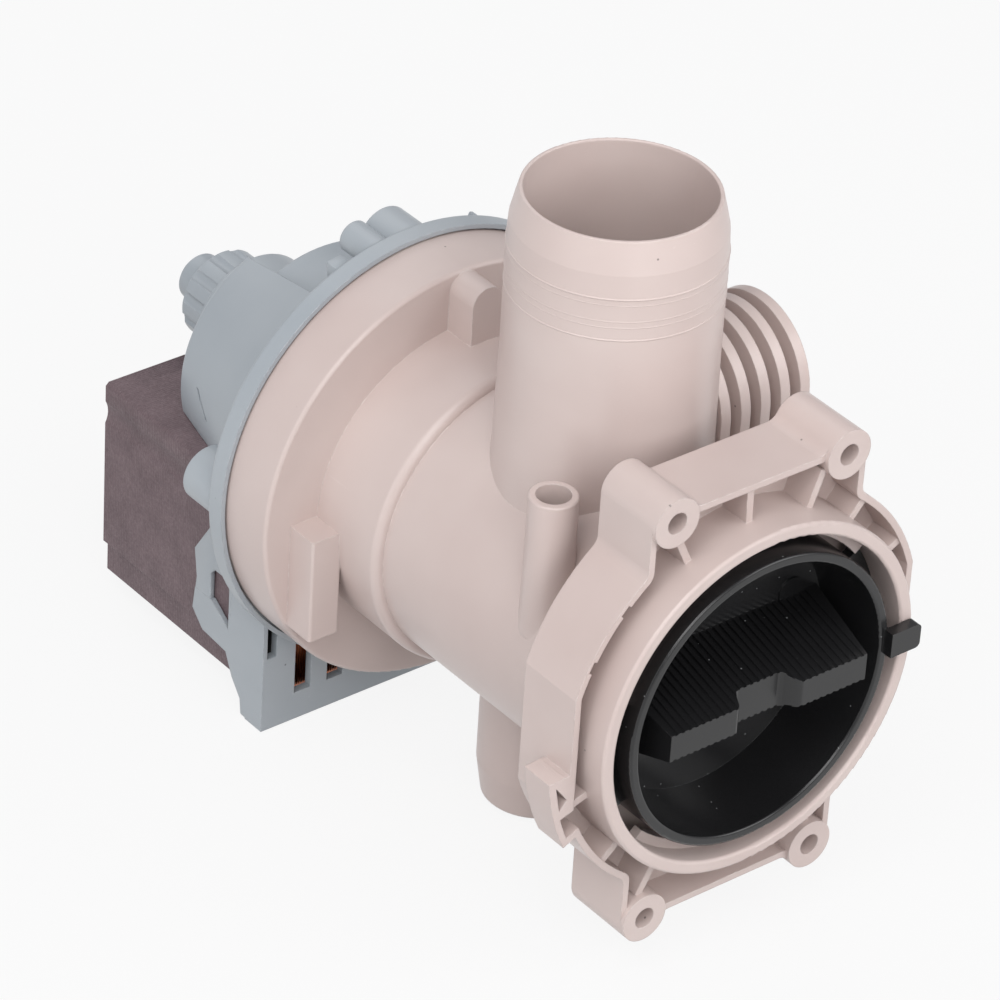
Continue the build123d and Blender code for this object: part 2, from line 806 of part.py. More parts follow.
# Filter cap: cup with the grip bar, bayonet lugs, sealing plug, hub stub and pointer tab
with BuildPart() as filter_cap:
    rod_y(cap_r, cap_front, cap_back_y)
    rod_y(plug_r, cap_back_y, plug_back_y)
    cone_sector(cup_r, cup_floor_r, cap_front, cup_floor_y, 0, 360, mode=Mode.SUBTRACT)
    plug_bore_r = seal_groove_r - plug_wall
    rod_y(plug_bore_r, cap_floor_back_y, plug_back_y + overrun, mode=Mode.SUBTRACT)
    ring_sector(
        seal_groove_r,
        plug_r + overrun,
        seal_y - seal_section_r - seat_gap,
        seal_y + seal_section_r + seat_gap,
        0,
        360,
        mode=Mode.SUBTRACT,
    )
    fillet(edges_at(filter_cap, cap_r, cap_front), cup_edge_round)
    fillet(edges_at(filter_cap, cup_r, cap_front), cup_edge_round)
    for angle in cap_lug_angles:
        ring_sector(
            cap_r - cup_floor_thickness,
            cap_lug_r,
            lug_front,
            lug_front + cap_lug_thickness,
            angle - cap_lug_arc / 2,
            angle + cap_lug_arc / 2,
        )

    # Grip bar: narrow at the front, wider towards the cup floor, notched in the middle
    grip_root_y = cup_floor_y + cup_floor_thickness / 2
    grip_run = grip_root_y - grip_front_y
    with BuildSketch(Plane.XZ.offset(-grip_front_y)) as grip_front:
        Rectangle(2 * grip_half_x, 2 * grip_half_z)
    with BuildSketch(Plane.XZ.offset(-grip_root_y)) as grip_root:
        Rectangle(
            2 * (grip_half_x + grip_end_draft * grip_run),
            2 * (grip_half_z + grip_draft * grip_run),
        )
    loft([grip_root.sketch, grip_front.sketch])
    with BuildSketch(Plane.XY.offset(-2 * grip_half_z)) as grip_notch:
        with BuildLine():
            Polyline(
                (-grip_notch_half_x, grip_front_y),
                (-grip_notch_half_x, grip_front_y - overrun),
                (grip_notch_half_x, grip_front_y - overrun),
                (grip_notch_half_x, grip_front_y),
                (grip_notch_floor_half_x, grip_front_y + grip_notch_depth),
                (-grip_notch_floor_half_x, grip_front_y + grip_notch_depth),
                close=True,
            )
        make_face()
        notch_floor = [
            corner_at(grip_notch, side * grip_notch_floor_half_x, grip_front_y + grip_notch_depth)
            for side in (-1, 1)
        ]
        fillet(notch_floor[0] + notch_floor[1], grip_notch_round)
    extrude(grip_notch.sketch, amount=4 * grip_half_z, mode=Mode.SUBTRACT)
    notch_brows = [
        edge
        for edge in filter_cap.edges().filter_by(Axis.Z)
        if abs(abs(edge.center().X) - grip_notch_half_x) < seat_gap
        and abs(edge.center().Y - grip_front_y) < seat_gap
    ]
    fillet(notch_brows, grip_notch_round)

    # Fine grooves down both sloping sides of the bar
    groove_count = int((grip_half_x - grip_plain_x / 2) // grip_groove_pitch)
    groove_root_z = grip_half_z + grip_draft * (cup_floor_y - grip_front_y)
    for side in (-1, 1):
        groove = (
            (grip_front_y - overrun, side * (grip_half_z - grip_groove_depth)),
            (cup_floor_y, side * (groove_root_z - grip_groove_depth)),
            (cup_floor_y, side * (groove_root_z + grip_groove_depth)),
            (grip_front_y - overrun, side * (groove_root_z + grip_groove_depth)),
        )
        for count in range(-groove_count, groove_count + 1):
            left = count * grip_groove_pitch - grip_groove_width / 2
            prism_x(groove, left, left + grip_groove_width, mode=Mode.SUBTRACT)

    # Round mark on the cup floor, pointer tab and the stub that carries the basket
    rod_y(
        cap_mark_r,
        cup_floor_y - cap_mark_height,
        cap_floor_back_y,
        cap_mark_x,
        cap_mark_z,
    )
    tab_span_z = (tab_middle_z - tab_half_z, tab_middle_z + tab_half_z)
    tab_root_back = cap_front + tab_edge_round
    block((tab_root_x, tab_reach), (grip_front_y, cap_front), tab_span_z)
    block((cup_r + cap_mark_height, cap_r - cap_mark_height), (cap_front, tab_root_back), tab_span_z)
    tab_tip = [
        edge
        for edge in filter_cap.edges().filter_by(Axis.Y)
        if abs(edge.center().X - tab_reach) < seat_gap
    ]
    fillet(tab_tip, tab_edge_round)
    stub_head_y = basket_front_y + basket_plate + loose_gap
    rod_y(cap_stub_r, cap_floor_back_y, stub_head_y)
    rod_y(cap_stub_head_r, stub_head_y, stub_head_y + cap_stub_head_length)

filter_cap.part.label = "filter_cap"


# Filter seal: a rubber ring in the groove of the cap's plug
with BuildPart() as filter_seal:
    with Locations((0, seal_y, 0)):
        Torus(seal_ring_r, seal_section_r, rotation=(90, 0, 0))

filter_seal.part.label = "filter_seal"


# Filter basket: slotted cage with an open top under the inlet tube
with BuildPart() as filter_basket:
    cage_front = basket_front_y + basket_plate
    cage_back = basket_back_y - basket_end_plate
    slot_front = cage_front + basket_window_margin
    slot_back = cage_back - basket_window_margin
    rod_y(basket_r, basket_front_y, basket_back_y)
    rod_y(basket_bore_r, cage_front, cage_back, mode=Mode.SUBTRACT)
    ring_sector(
        basket_bore_r - overrun,
        basket_r + overrun,
        slot_front,
        slot_back,
        90 - basket_window_arc / 2,
        90 + basket_window_arc / 2,
        mode=Mode.SUBTRACT,
    )
    for angle in basket_slot_angles:
        half_arc = basket_slot_width / basket_r * 90 / pi
        ring_sector(
            basket_bore_r - overrun,
            basket_r + overrun,
            slot_front,
            slot_back,
            angle - half_arc,
            angle + half_arc,
            mode=Mode.SUBTRACT,
        )
    for circle_r, count in basket_hole_rings:
        for step in range(count):
            x, z = polar(circle_r, 360 / count * step)
            rod_y(
                basket_hole_r,
                cage_back - overrun,
                basket_back_y + overrun,
                x,
                z,
                mode=Mode.SUBTRACT,
            )
    for step in range(basket_spoke_count):
        x, z = polar(basket_spoke_circle_r, 360 / basket_spoke_count * step)
        rod_y(
            basket_spoke_hole_r,
            basket_front_y - overrun,
            cage_front + overrun,
            x,
            z,
            mode=Mode.SUBTRACT,
        )
    rod_y(
        cap_stub_r + running_gap,
        basket_front_y - overrun,
        cage_front + overrun,
        mode=Mode.SUBTRACT,
    )
    block(
        (-basket_key_half_x, basket_key_half_x),
        (basket_front_y, basket_front_y + basket_key_length),
        (-basket_r - basket_key_height, -basket_r + basket_wall / 2),
    )

filter_basket.part.label = "filter_basket"


# Impeller: back plate with straight blades and a hub that holds the lost-motion cavity
with BuildPart() as impeller:
    rod_y(impeller_hub_r, impeller_front_y, impeller_back_y)
    rod_y(impeller_r, impeller_blade_back, impeller_back_y)
    blade_root_r = impeller_hub_r - impeller_blade_thickness / 2
    blade_length = impeller_r - blade_root_r
    for step in range(impeller_blade_count):
        angle = 360 / impeller_blade_count * step
        with BuildSketch(Plane.XZ.offset(-impeller_blade_back)) as blade:
            place = (*polar(blade_root_r + blade_length / 2, angle), 0)
            with Locations(Location(place, (0, 0, angle))):
                Rectangle(blade_length, impeller_blade_thickness)
        extrude(blade.sketch, amount=impeller_blade_width)
    rod_y(
        bush_bore_r,
        impeller_front_y + hub_nose_wall,
        hub_cavity_front + overrun,
        mode=Mode.SUBTRACT,
    )
    rod_y(hub_bore_r, hub_cavity_front, impeller_back_y + overrun, mode=Mode.SUBTRACT)
    ring_sector(
        hub_key_r,
        (hub_bore_r + impeller_hub_r) / 2,
        hub_cavity_front,
        impeller_back_y,
        90 - hub_key_arc / 2,
        90 + hub_key_arc / 2,
    )

impeller.part.label = "impeller"


# Driver: sleeve on the shaft whose dog turns in the hub before it carries the impeller round
with BuildPart() as impeller_driver:
    driver_front = hub_cavity_front + loose_gap
    driver_back = impeller_back_y - loose_gap
    rod_y(driver_core_r, driver_front, driver_back)
    ring_sector(
        shaft_r + seat_gap,
        driver_dog_r,
        driver_front,
        driver_back,
        270 - driver_dog_arc / 2,
        270 + driver_dog_arc / 2,
    )
    rod_y(shaft_r + seat_gap, driver_front - overrun, driver_back + overrun, mode=Mode.SUBTRACT)

impeller_driver.part.label = "impeller_driver"


# Rotor shaft
with BuildPart() as rotor_shaft:
    rod_y(shaft_r, shaft_front_y, shaft_back_y)
    chamfer(edges_at(rotor_shaft, shaft_r, shaft_back_y), shaft_chamfer)

rotor_shaft.part.label = "rotor_shaft"


# Rotor magnet, a thick ferrite sleeve on the shaft
with BuildPart() as rotor_magnet:
    rod_y(magnet_r, magnet_front_y, magnet_back_y)
    rod_y(
        shaft_r + seat_gap,
        magnet_front_y - overrun,
        magnet_back_y + overrun,
        mode=Mode.SUBTRACT,
    )

rotor_magnet.part.label = "rotor_magnet"


def magnet_end_cap(front):
    """One plastic disc over an end of the magnet."""
    with BuildPart() as cap:
        rod_y(magnet_cap_r, front, front + magnet_cap_thickness)
        rod_y(
            shaft_r + seat_gap,
            front - overrun,
            front + magnet_cap_thickness + overrun,
            mode=Mode.SUBTRACT,
        )
    return cap


magnet_cap_front = magnet_end_cap(front_cap_y)
magnet_cap_front.part.label = "magnet_cap_front"
magnet_cap_rear = magnet_end_cap(rear_cap_y)
magnet_cap_rear.part.label = "magnet_cap_rear"


# Two thrust washers against the magnet's end caps
with BuildPart() as thrust_washers:
    for front in (front_washer_y, rear_washer_y):
        ring_sector(shaft_r + seat_gap, washer_r, front, front + washer_thickness, 0, 360)

thrust_washers.part.label = "thrust_washers"


def plain_ring(inner_r, outer_r, front, back):
    """A plain ring about the shaft, such as a bush or its rubber seat."""
    with BuildPart() as ring:
        ring_sector(inner_r, outer_r, front, back, 0, 360)
    return ring


# Sintered bushes and the rubber rings that seat them
front_bush = plain_ring(bush_bore_r, bush_r, front_bush_y, front_bush_y + bush_length)
front_bush.part.label = "front_bush"
front_bush_seat = plain_ring(seat_bore_r, bush_seat_r, front_bush_y, front_bush_y + bush_length)
front_bush_seat.part.label = "front_bush_seat"
rear_bush = plain_ring(bush_bore_r, bush_r, rear_bush_y, rear_bush_back_y)
rear_bush.part.label = "rear_bush"
rear_bush_seat = plain_ring(seat_bore_r, bush_seat_r, rear_bush_y, rear_bush_back_y)
rear_bush_seat.part.label = "rear_bush_seat"
shaft_seal = plain_ring(bush_bore_r, bush_seat_r, drum_back, drum_back + shaft_seal_thickness)
shaft_seal.part.label = "shaft_seal"


# Bearing plate: closes the can behind the impeller and holds the front bush
with BuildPart() as bearing_plate:
    socket_r = bush_seat_r + seat_gap
    socket_back = front_bush_y + bush_length
    spigot_r = can_r - can_wall - seat_gap
    rod_y(bearing_plate_r, bearing_plate_front_y, drum_back)
    ring_sector(
        socket_r,
        socket_r + bearing_plate_socket_wall,
        drum_back - bearing_plate_thickness / 2,
        socket_back,
        0,
        360,
    )
    ring_sector(
        spigot_r - bearing_plate_spigot_wall,
        spigot_r,
        drum_back - bearing_plate_thickness / 2,
        drum_back + bearing_plate_spigot_length,
        0,
        360,
    )
    rod_y(
        shaft_r + shaft_hole_gap,
        bearing_plate_front_y - overrun,
        drum_back + overrun,
        mode=Mode.SUBTRACT,
    )

bearing_plate.part.label = "bearing_plate"


# Rotor can: thin sleeve round the magnet, with a collar before the fluted rear end
with BuildPart() as rotor_can:
    seat_r = bush_seat_r + seat_gap
    end_bore_r = shaft_r + shaft_hole_gap
    seat_front = rear_bush_y - loose_gap
    turned_y(
        (
            (drum_back, can_bore_r),
            (drum_back, can_flange_r),
            (drum_back + can_flange_thickness, can_flange_r),
            (drum_back + can_flange_thickness, can_r),
            (can_collar_front_y, can_r),
            (can_collar_front_y, can_collar_r),
            (can_collar_back_y, can_collar_r),
            (can_collar_back_y, knob_r),
            (knob_back_y - knob_edge, knob_r),
            (knob_back_y, knob_r - knob_edge),
            (knob_back_y, knob_tip_r),
            (knob_tip_back_y - knob_tip_round, knob_tip_r),
            (knob_tip_back_y, knob_tip_r - knob_tip_round),
            (knob_tip_back_y, 0),
            (shaft_back_y + overrun, 0),
            (shaft_back_y + overrun, end_bore_r),
            (rear_bush_back_y, end_bore_r),
            (rear_bush_back_y, seat_r),
            (seat_front, seat_r),
            (seat_front, can_bore_r),
        )
    )
    for step in range(knob_flute_count):
        flute_place = polar(
            knob_r - knob_flute_depth + knob_flute_r,
            360 / knob_flute_count * (step + 1 / 2),
        )
        rod_y(
            knob_flute_r,
            can_collar_back_y + knob_edge,
            knob_back_y + overrun,
            *flute_place,
            mode=Mode.SUBTRACT,
        )

rotor_can.part.label = "rotor_can"


# Rubber ring between the motor disc and the volute wall
with BuildPart() as motor_oring:
    with Locations((0, drum_back + oring_section_r + seat_gap / 2, 0)):
        Torus(oring_r, oring_section_r, rotation=(90, 0, 0))

motor_oring.part.label = "motor_oring"


# Motor housing: slotted frame, disc with its bosses, and the rounded cover over the poles
with BuildPart() as motor_housing:
    frame_front = drum_back + frame_setback
    block(
        (-frame_half_x, frame_half_x),
        (frame_front, frame_front + frame_front_wall),
        (frame_bottom_z, -volute_r),
    )
    for side in (-1, 1):
        corner = (side * (core_half_x + frame_side_gap), side * frame_half_x)
        side_outline = [(drum_back + depth, z) for depth, z in frame_side_points]
        prism_x(side_outline, min(corner), max(corner))
        with BuildSketch(Plane.YZ.offset(min(corner) - overrun)) as side_window:
            with BuildLine():
                Polyline(*((drum_back + depth, z) for depth, z in frame_window_points), close=True)
            make_face()
            fillet(side_window.vertices().group_by(Axis.X)[-1], frame_window_round)
        window_length = max(corner) - min(corner) + 2 * overrun
        extrude(side_window.sketch, amount=window_length, mode=Mode.SUBTRACT)
    block(
        (-frame_half_x, frame_half_x),
        (frame_front, frame_front + frame_floor_depth),
        (frame_bottom_z, frame_bottom_z + frame_floor_wall),
    )
    slot_y = (frame_front - overrun, frame_front + frame_front_wall + overrun)
    for step in range(frame_slot_count):
        middle = (step - (frame_slot_count - 1) / 2) * frame_slot_pitch
        block(
            (middle - frame_slot_width / 2, middle + frame_slot_width / 2),
            slot_y,
            (frame_slot_bottom_z, -volute_r + overrun),
            mode=Mode.SUBTRACT,
        )
    for side in (-1, 1):
        middle = side * frame_corner_slot_x
        block(
            (middle - frame_corner_slot_width / 2, middle + frame_corner_slot_width / 2),
            slot_y,
            (frame_corner_slot_bottom_z, frame_corner_slot_top_z),
            mode=Mode.SUBTRACT,
        )

    # Disc with a rounded rear edge and a thin lip round the drum
    with BuildSketch(Plane.YZ) as disc_profile:
        with BuildLine():
            Polyline(
                (drum_back, 0),
                (drum_back, disc_r),
                (disc_back, disc_r),
                (disc_back, 0),
                close=True,
            )
        make_face()
        fillet(corner_at(disc_profile, disc_back, disc_r), disc_edge_round)
    revolve(disc_profile.sketch, axis=Axis.Y)
    outlet_low, outlet_high = (
        degrees(asin((outlet_z + side * (outlet_r + disc_lip_wall)) / disc_r)) for side in (-1, 1)
    )
    ring_sector(
        disc_r - disc_lip_wall,
        disc_r,
        drum_back - disc_lip_length,
        disc_back - disc_edge_round,
        outlet_high,
        360 + outlet_low,
    )
    for angle in motor_screw_angles:
        rod_y(disc_boss_r, disc_back - overrun, boss_back, *polar(motor_screw_circle_r, angle))
    rod_y(disc_bump_r, disc_back - overrun, disc_back + disc_bump_length, disc_bump_x, disc_bump_z)

    # Cover: a drum over the poles, with a longer hood beside it that tapers to the rear
    rod_y(cover_r, disc_back - overrun, cover_back_y)
    cone_sector(hood_root_r, hood_back_r, disc_back, hood_back_y, *hood_span)
    fillet(edges_at(motor_housing, cover_r, cover_back_y), cover_edge_round)
    fillet(edges_at(motor_housing, hood_back_r, hood_back_y), cover_edge_round)
    rod_y(cover_r - cover_wall, disc_back, cover_back_y - cover_wall, mode=Mode.SUBTRACT)
    wall_arc = cover_wall / hood_back_r * 180 / pi
    cone_sector(
        hood_root_r - cover_wall,
        hood_back_r - cover_wall,
        disc_back,
        hood_back_y - cover_wall,
        hood_span[0] + wall_arc,
        hood_span[1] - wall_arc,
        mode=Mode.SUBTRACT,
    )
    block(
        (-hood_root_r - overrun, hood_root_r + overrun),
        (core_front_y - cover_foot_gap, hood_back_y + overrun),
        (-hood_root_r - overrun, core_top_z + cover_foot_gap),
        mode=Mode.SUBTRACT,
    )
    prism_x(hood_slot_points, -hood_root_r - overrun, hood_slot_inner_x, mode=Mode.SUBTRACT)

    # Seats of the can, the rubber ring and the screws
    rod_y(
        can_r + seat_gap,
        drum_back - overrun,
        hood_back_y + overrun,
        mode=Mode.SUBTRACT,
    )
    rod_y(
        can_flange_r + seat_gap,
        drum_back - overrun,
        drum_back + can_flange_thickness,
        mode=Mode.SUBTRACT,
    )
    ring_sector(
        oring_r - oring_section_r - seat_gap,
        oring_r + oring_section_r + seat_gap,
        drum_back - overrun,
        drum_back + 2 * oring_section_r + seat_gap,
        0,
        360,
        mode=Mode.SUBTRACT,
    )
    for angle in motor_screw_angles:
        x, z = polar(motor_screw_circle_r, angle)
        rod_y(
            motor_screw_r + seat_gap,
            drum_back - overrun,
            boss_back + overrun,
            x,
            z,
            mode=Mode.SUBTRACT,
        )

motor_housing.part.label = "motor_housing"


# Motor screws from behind, with crossed slots in their heads
with BuildPart() as motor_screws:
    for angle in motor_screw_angles:
        x, z = polar(motor_screw_circle_r, angle)
        head_back = boss_back + motor_screw_head_height
        rod_y(motor_screw_r, drum_back - motor_screw_grip, boss_back, x, z)
        rod_y(motor_screw_head_r, boss_back, head_back, x, z)
        slot_depth = (head_back - motor_screw_head_height / 2, head_back + overrun)
        for reach_x, reach_z in ((1, 1 / 4), (1 / 4, 1)):
            half_x = motor_screw_head_r / 2 * reach_x
            half_z = motor_screw_head_r / 2 * reach_z
            block((x - half_x, x + half_x), slot_depth, (z - half_z, z + half_z), mode=Mode.SUBTRACT)

motor_screws.part.label = "motor_screws"


# Laminated core: two limbs joined over the window, with a cradle for the can on top
core_rivet_places = [
    (side * (core_half_x - rivet_inset), z)
    for side in (-1, 1)
    for z in (core_top_z - rivet_inset, core_joint_z + rivet_inset)
]
with BuildPart() as stator_core:
    block((-core_half_x, core_half_x), (core_front_y, core_back_y), (core_joint_z, core_top_z))
    top_edges = [
        edge
        for edge in stator_core.edges().filter_by(Axis.Y)
        if abs(edge.center().Z - core_top_z) < seat_gap
    ]
    chamfer(top_edges, core_edge)
    block(
        (-window_half_x, window_half_x),
        (core_front_y - overrun, core_back_y + overrun),
        (core_joint_z - overrun, window_top_z),
        mode=Mode.SUBTRACT,
    )
    rod_y(core_axis_gap, core_front_y - overrun, can_collar_front_y, mode=Mode.SUBTRACT)
    rod_y(
        can_collar_r + loose_gap,
        can_collar_front_y - loose_gap,
        can_collar_back_y + loose_gap,
        mode=Mode.SUBTRACT,
    )
    rod_y(
        knob_r + core_bridge_gap,
        can_collar_back_y,
        core_back_y + overrun,
        mode=Mode.SUBTRACT,
    )
    for place in core_rivet_places:
        rod_y(
            rivet_r + seat_gap,
            core_front_y - overrun,
            core_back_y + overrun,
            *place,
            mode=Mode.SUBTRACT,
        )
    for side in (-1, 1):
        rod_y(
            core_groove_r,
            core_front_y - overrun,
            core_back_y + overrun,
            side * (core_half_x + core_groove_r - core_groove_depth),
            core_groove_z,
            mode=Mode.SUBTRACT,
        )

stator_core.part.label = "stator_core"


# Yoke bar that closes the core below the winding, a little narrower than the limbs
with BuildPart() as stator_yoke:
    block(
        (-core_half_x + yoke_inset, core_half_x - yoke_inset),
        (core_front_y, core_back_y),
        (core_bottom_z, core_joint_z),
    )

stator_yoke.part.label = "stator_yoke"


# Pole shoes: two curved blocks on the core's top, left and right of the can
with BuildPart() as pole_shoes:
    shoe_outer_r = cover_r - cover_wall - loose_gap
    shoe_back = core_front_y + shoe_length
    for middle in (0, 180):
        ring_sector(
            core_axis_gap,
            shoe_outer_r,
            core_front_y,
            shoe_back,
            middle - shoe_arc / 2,
            middle + shoe_arc / 2,
        )
    block(
        (-cover_r, cover_r),
        (core_front_y - overrun, shoe_back + overrun),
        (-cover_r, core_top_z),
        mode=Mode.SUBTRACT,
    )

pole_shoes.part.label = "pole_shoes"


# Rivets through the limbs of the core
with BuildPart() as core_rivets:
    for place in core_rivet_places:
        rod_y(rivet_r, core_front_y, core_back_y, *place)
        rod_y(rivet_head_r, core_front_y - rivet_head_height, core_front_y, *place)
        rod_y(rivet_head_r, core_back_y, core_back_y + rivet_head_height, *place)

core_rivets.part.label = "core_rivets"


def racetrack(y_span, z_span, corner_r, hole_y, hole_z):
    """A rounded frame in a YZ plane round a rectangular hole, as a face."""
    with BuildSketch(Plane.YZ) as frame:
        with Locations((sum(y_span) / 2, sum(z_span) / 2)):
            RectangleRounded(y_span[1] - y_span[0], z_span[1] - z_span[0], corner_r)
        with Locations((sum(hole_y) / 2, sum(hole_z) / 2)):
            Rectangle(hole_y[1] - hole_y[0], hole_z[1] - hole_z[0], mode=Mode.SUBTRACT)
    return frame.sketch


# Bobbin: a tube on the yoke bar with a flange at each end
yoke_y = (core_front_y - seat_gap, core_back_y + seat_gap)
yoke_z = (core_bottom_z - seat_gap, core_joint_z + seat_gap)
with BuildPart() as coil_bobbin:
    tube_face = racetrack(bobbin_y, bobbin_z, bobbin_wall / 2, yoke_y, yoke_z)
    extrude(tube_face, amount=bobbin_half_x, both=True)
    flange_y = (winding_y[0] - loose_gap, winding_y[1] + loose_gap)
    flange_z = (winding_z[0] - loose_gap, winding_z[1] + loose_gap)
    flange_face = racetrack(flange_y, flange_z, winding_depth / 2, yoke_y, yoke_z)
    for side in (-1, 1):
        left = min(side * bobbin_half_x, side * (bobbin_half_x - bobbin_flange))
        extrude(Pos(left, 0, 0) * flange_face, amount=bobbin_flange)

coil_bobbin.part.label = "coil_bobbin"


# Winding: enamelled copper round the bobbin, as one body
with BuildPart() as coil_winding:
    inner_y = (bobbin_y[0] - winding_end_gap, bobbin_y[1] + winding_end_gap)
    inner_z = (bobbin_z[0] - winding_end_gap, bobbin_z[1] + winding_end_gap)
    corner_r = winding_depth * winding_corner_share
    winding_face = racetrack(winding_y, winding_z, corner_r, inner_y, inner_z)
    extrude(winding_face, amount=winding_half_x - winding_end_gap, both=True)

coil_winding.part.label = "coil_winding"


# Terminal block above the winding at the rear of the core window, with its two spade blades
blade_middle_z = terminal_block_z + terminal_block_height / 2
blade_y = (terminal_block_back_y - blade_depth, terminal_block_back_y - blade_depth + blade_length)
with BuildPart() as terminal_block:
    block(
        (-terminal_block_half_x, terminal_block_half_x),
        (terminal_block_back_y - terminal_block_depth, terminal_block_back_y),
        (terminal_block_z, terminal_block_z + terminal_block_height),
    )
    for side in (-1, 1):
        middle = side * blade_spacing / 2
        half_x = blade_thickness / 2 + seat_gap
        half_z = blade_width / 2 + seat_gap
        block(
            (middle - half_x, middle + half_x),
            (blade_y[0] - seat_gap, terminal_block_back_y + overrun),
            (blade_middle_z - half_z, blade_middle_z + half_z),
            mode=Mode.SUBTRACT,
        )

terminal_block.part.label = "terminal_block"

with BuildPart() as spade_terminals:
    for side in (-1, 1):
        middle = side * blade_spacing / 2
        half_x = blade_thickness / 2
        block(
            (middle - half_x, middle + half_x),
            blade_y,
            (blade_middle_z - blade_width / 2, blade_middle_z + blade_width / 2),
        )
        rod_x(
            blade_hole_r,
            middle - blade_thickness,
            middle + blade_thickness,
            blade_y[1] - blade_width / 2,
            blade_middle_z,
            mode=Mode.SUBTRACT,
        )

spade_terminals.part.label = "spade_terminals"


pieces = (
    pump_housing,
    filter_cap,
    filter_seal,
    filter_basket,
    impeller,
    impeller_driver,
    rotor_shaft,
    rotor_magnet,
    magnet_cap_front,
    magnet_cap_rear,
    thrust_washers,
    front_bush,
    front_bush_seat,
    rear_bush,
    rear_bush_seat,
    shaft_seal,
    bearing_plate,
    rotor_can,
    motor_oring,
    motor_housing,
    motor_screws,
    stator_core,
    stator_yoke,
    pole_shoes,
    core_rivets,
    coil_bobbin,
    coil_winding,
    terminal_block,
    spade_terminals,
)
os.makedirs("parts", exist_ok=True)
for piece in pieces:
    export_step(piece.part, f"parts/{piece.part.label}.step")
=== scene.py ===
"""Studio picture of a washer drain pump: finishes, wound coil, core sheets and moulded details."""

import logging
import math
import random
from dataclasses import dataclass, field
from enum import Enum
from typing import Any, Callable

import bmesh
import bpy
from mathutils import Matrix, Vector


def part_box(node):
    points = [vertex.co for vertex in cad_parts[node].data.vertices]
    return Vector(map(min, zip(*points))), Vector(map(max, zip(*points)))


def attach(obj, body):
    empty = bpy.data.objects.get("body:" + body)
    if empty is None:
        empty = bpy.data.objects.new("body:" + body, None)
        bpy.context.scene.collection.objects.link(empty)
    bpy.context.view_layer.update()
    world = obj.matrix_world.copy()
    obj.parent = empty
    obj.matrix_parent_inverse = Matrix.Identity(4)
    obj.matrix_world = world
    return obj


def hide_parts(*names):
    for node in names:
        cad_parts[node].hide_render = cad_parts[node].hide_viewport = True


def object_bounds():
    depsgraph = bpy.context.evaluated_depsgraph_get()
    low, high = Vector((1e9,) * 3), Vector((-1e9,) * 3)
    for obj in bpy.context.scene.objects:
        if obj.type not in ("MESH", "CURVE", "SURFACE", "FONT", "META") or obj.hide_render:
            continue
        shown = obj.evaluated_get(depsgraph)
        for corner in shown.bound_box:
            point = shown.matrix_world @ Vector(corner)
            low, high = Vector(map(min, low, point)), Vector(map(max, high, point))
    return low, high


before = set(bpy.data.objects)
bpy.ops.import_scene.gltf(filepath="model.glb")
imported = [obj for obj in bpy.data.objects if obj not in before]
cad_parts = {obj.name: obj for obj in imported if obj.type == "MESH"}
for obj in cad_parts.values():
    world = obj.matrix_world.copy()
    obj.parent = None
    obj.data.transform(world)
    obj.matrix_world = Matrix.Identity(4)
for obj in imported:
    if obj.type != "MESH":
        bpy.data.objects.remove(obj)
cad_box = [list(corner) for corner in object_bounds()]

LOG = logging.getLogger("washer_drain_pump")
MM = 0.001
SEED = 11
# Where the middle part of a noise pattern starts and ends
PATTERN_LOW, PATTERN_HIGH = 0.3, 0.7
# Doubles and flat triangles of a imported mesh, in millimetres and degrees
DOUBLES_MM = 0.0005
FLAT_DEG = 0.4
# Edges under these angles are shaded smooth: on moulded, round and punched pieces
MOULDED_EDGE_DEG = 32.0
ROUND_EDGE_DEG = 60.0
PUNCHED_EDGE_DEG = 50.0


def srgb(code: str) -> tuple[float, float, float, float]:
    """Turns an sRGB colour to linear.

    Args:
        code: six hex digits after a hash.

    Returns:
        Linear red, green and blue, with an alpha of one.
    """
    channels = [int(code[start:start + 2], 16) / 255 for start in (1, 3, 5)]
    red, green, blue = [
        c / 12.92 if c <= 0.04045 else ((c + 0.055) / 1.055) ** 2.4 for c in channels
    ]
    return (red, green, blue, 1.0)


def per_mm(size: float) -> float:
    """Pattern scale, in features per metre, of a feature so many millimetres wide."""
    return 1 / (size * MM)


def add(
    tree: bpy.types.NodeTree,
    kind: str,
    settings: dict[str, Any] | None = None,
    inputs: dict[str | int, Any] | None = None,
) -> bpy.types.Node:
    """Adds a shader node with its settings, values and links.

    Args:
        tree: node tree that the node goes into.
        kind: the node's type name after ShaderNode.
        settings: properties to set on the node.
        inputs: for each input, a value, or the output that is linked to it.

    Returns:
        The new node.
    """
    made = tree.nodes.new("ShaderNode" + kind)
    for name, value in (settings or {}).items():
        setattr(made, name, value)
    for name, value in (inputs or {}).items():
        if isinstance(value, bpy.types.NodeSocket):
            tree.links.new(value, made.inputs[name])
        else:
            made.inputs[name].default_value = value
    return made


def surface(name: str) -> bpy.types.NodeTree:
    """Makes an empty material.

    Args:
        name: the material's name.

    Returns:
        Its node tree, with no nodes yet.
    """
    material = bpy.data.materials.new(name)
    material.use_nodes = True
    material.node_tree.nodes.clear()
    return material.node_tree


def material_of(tree: bpy.types.NodeTree) -> bpy.types.Material:
    """The material that a node tree belongs to."""
    return next(m for m in bpy.data.materials if m.node_tree == tree)


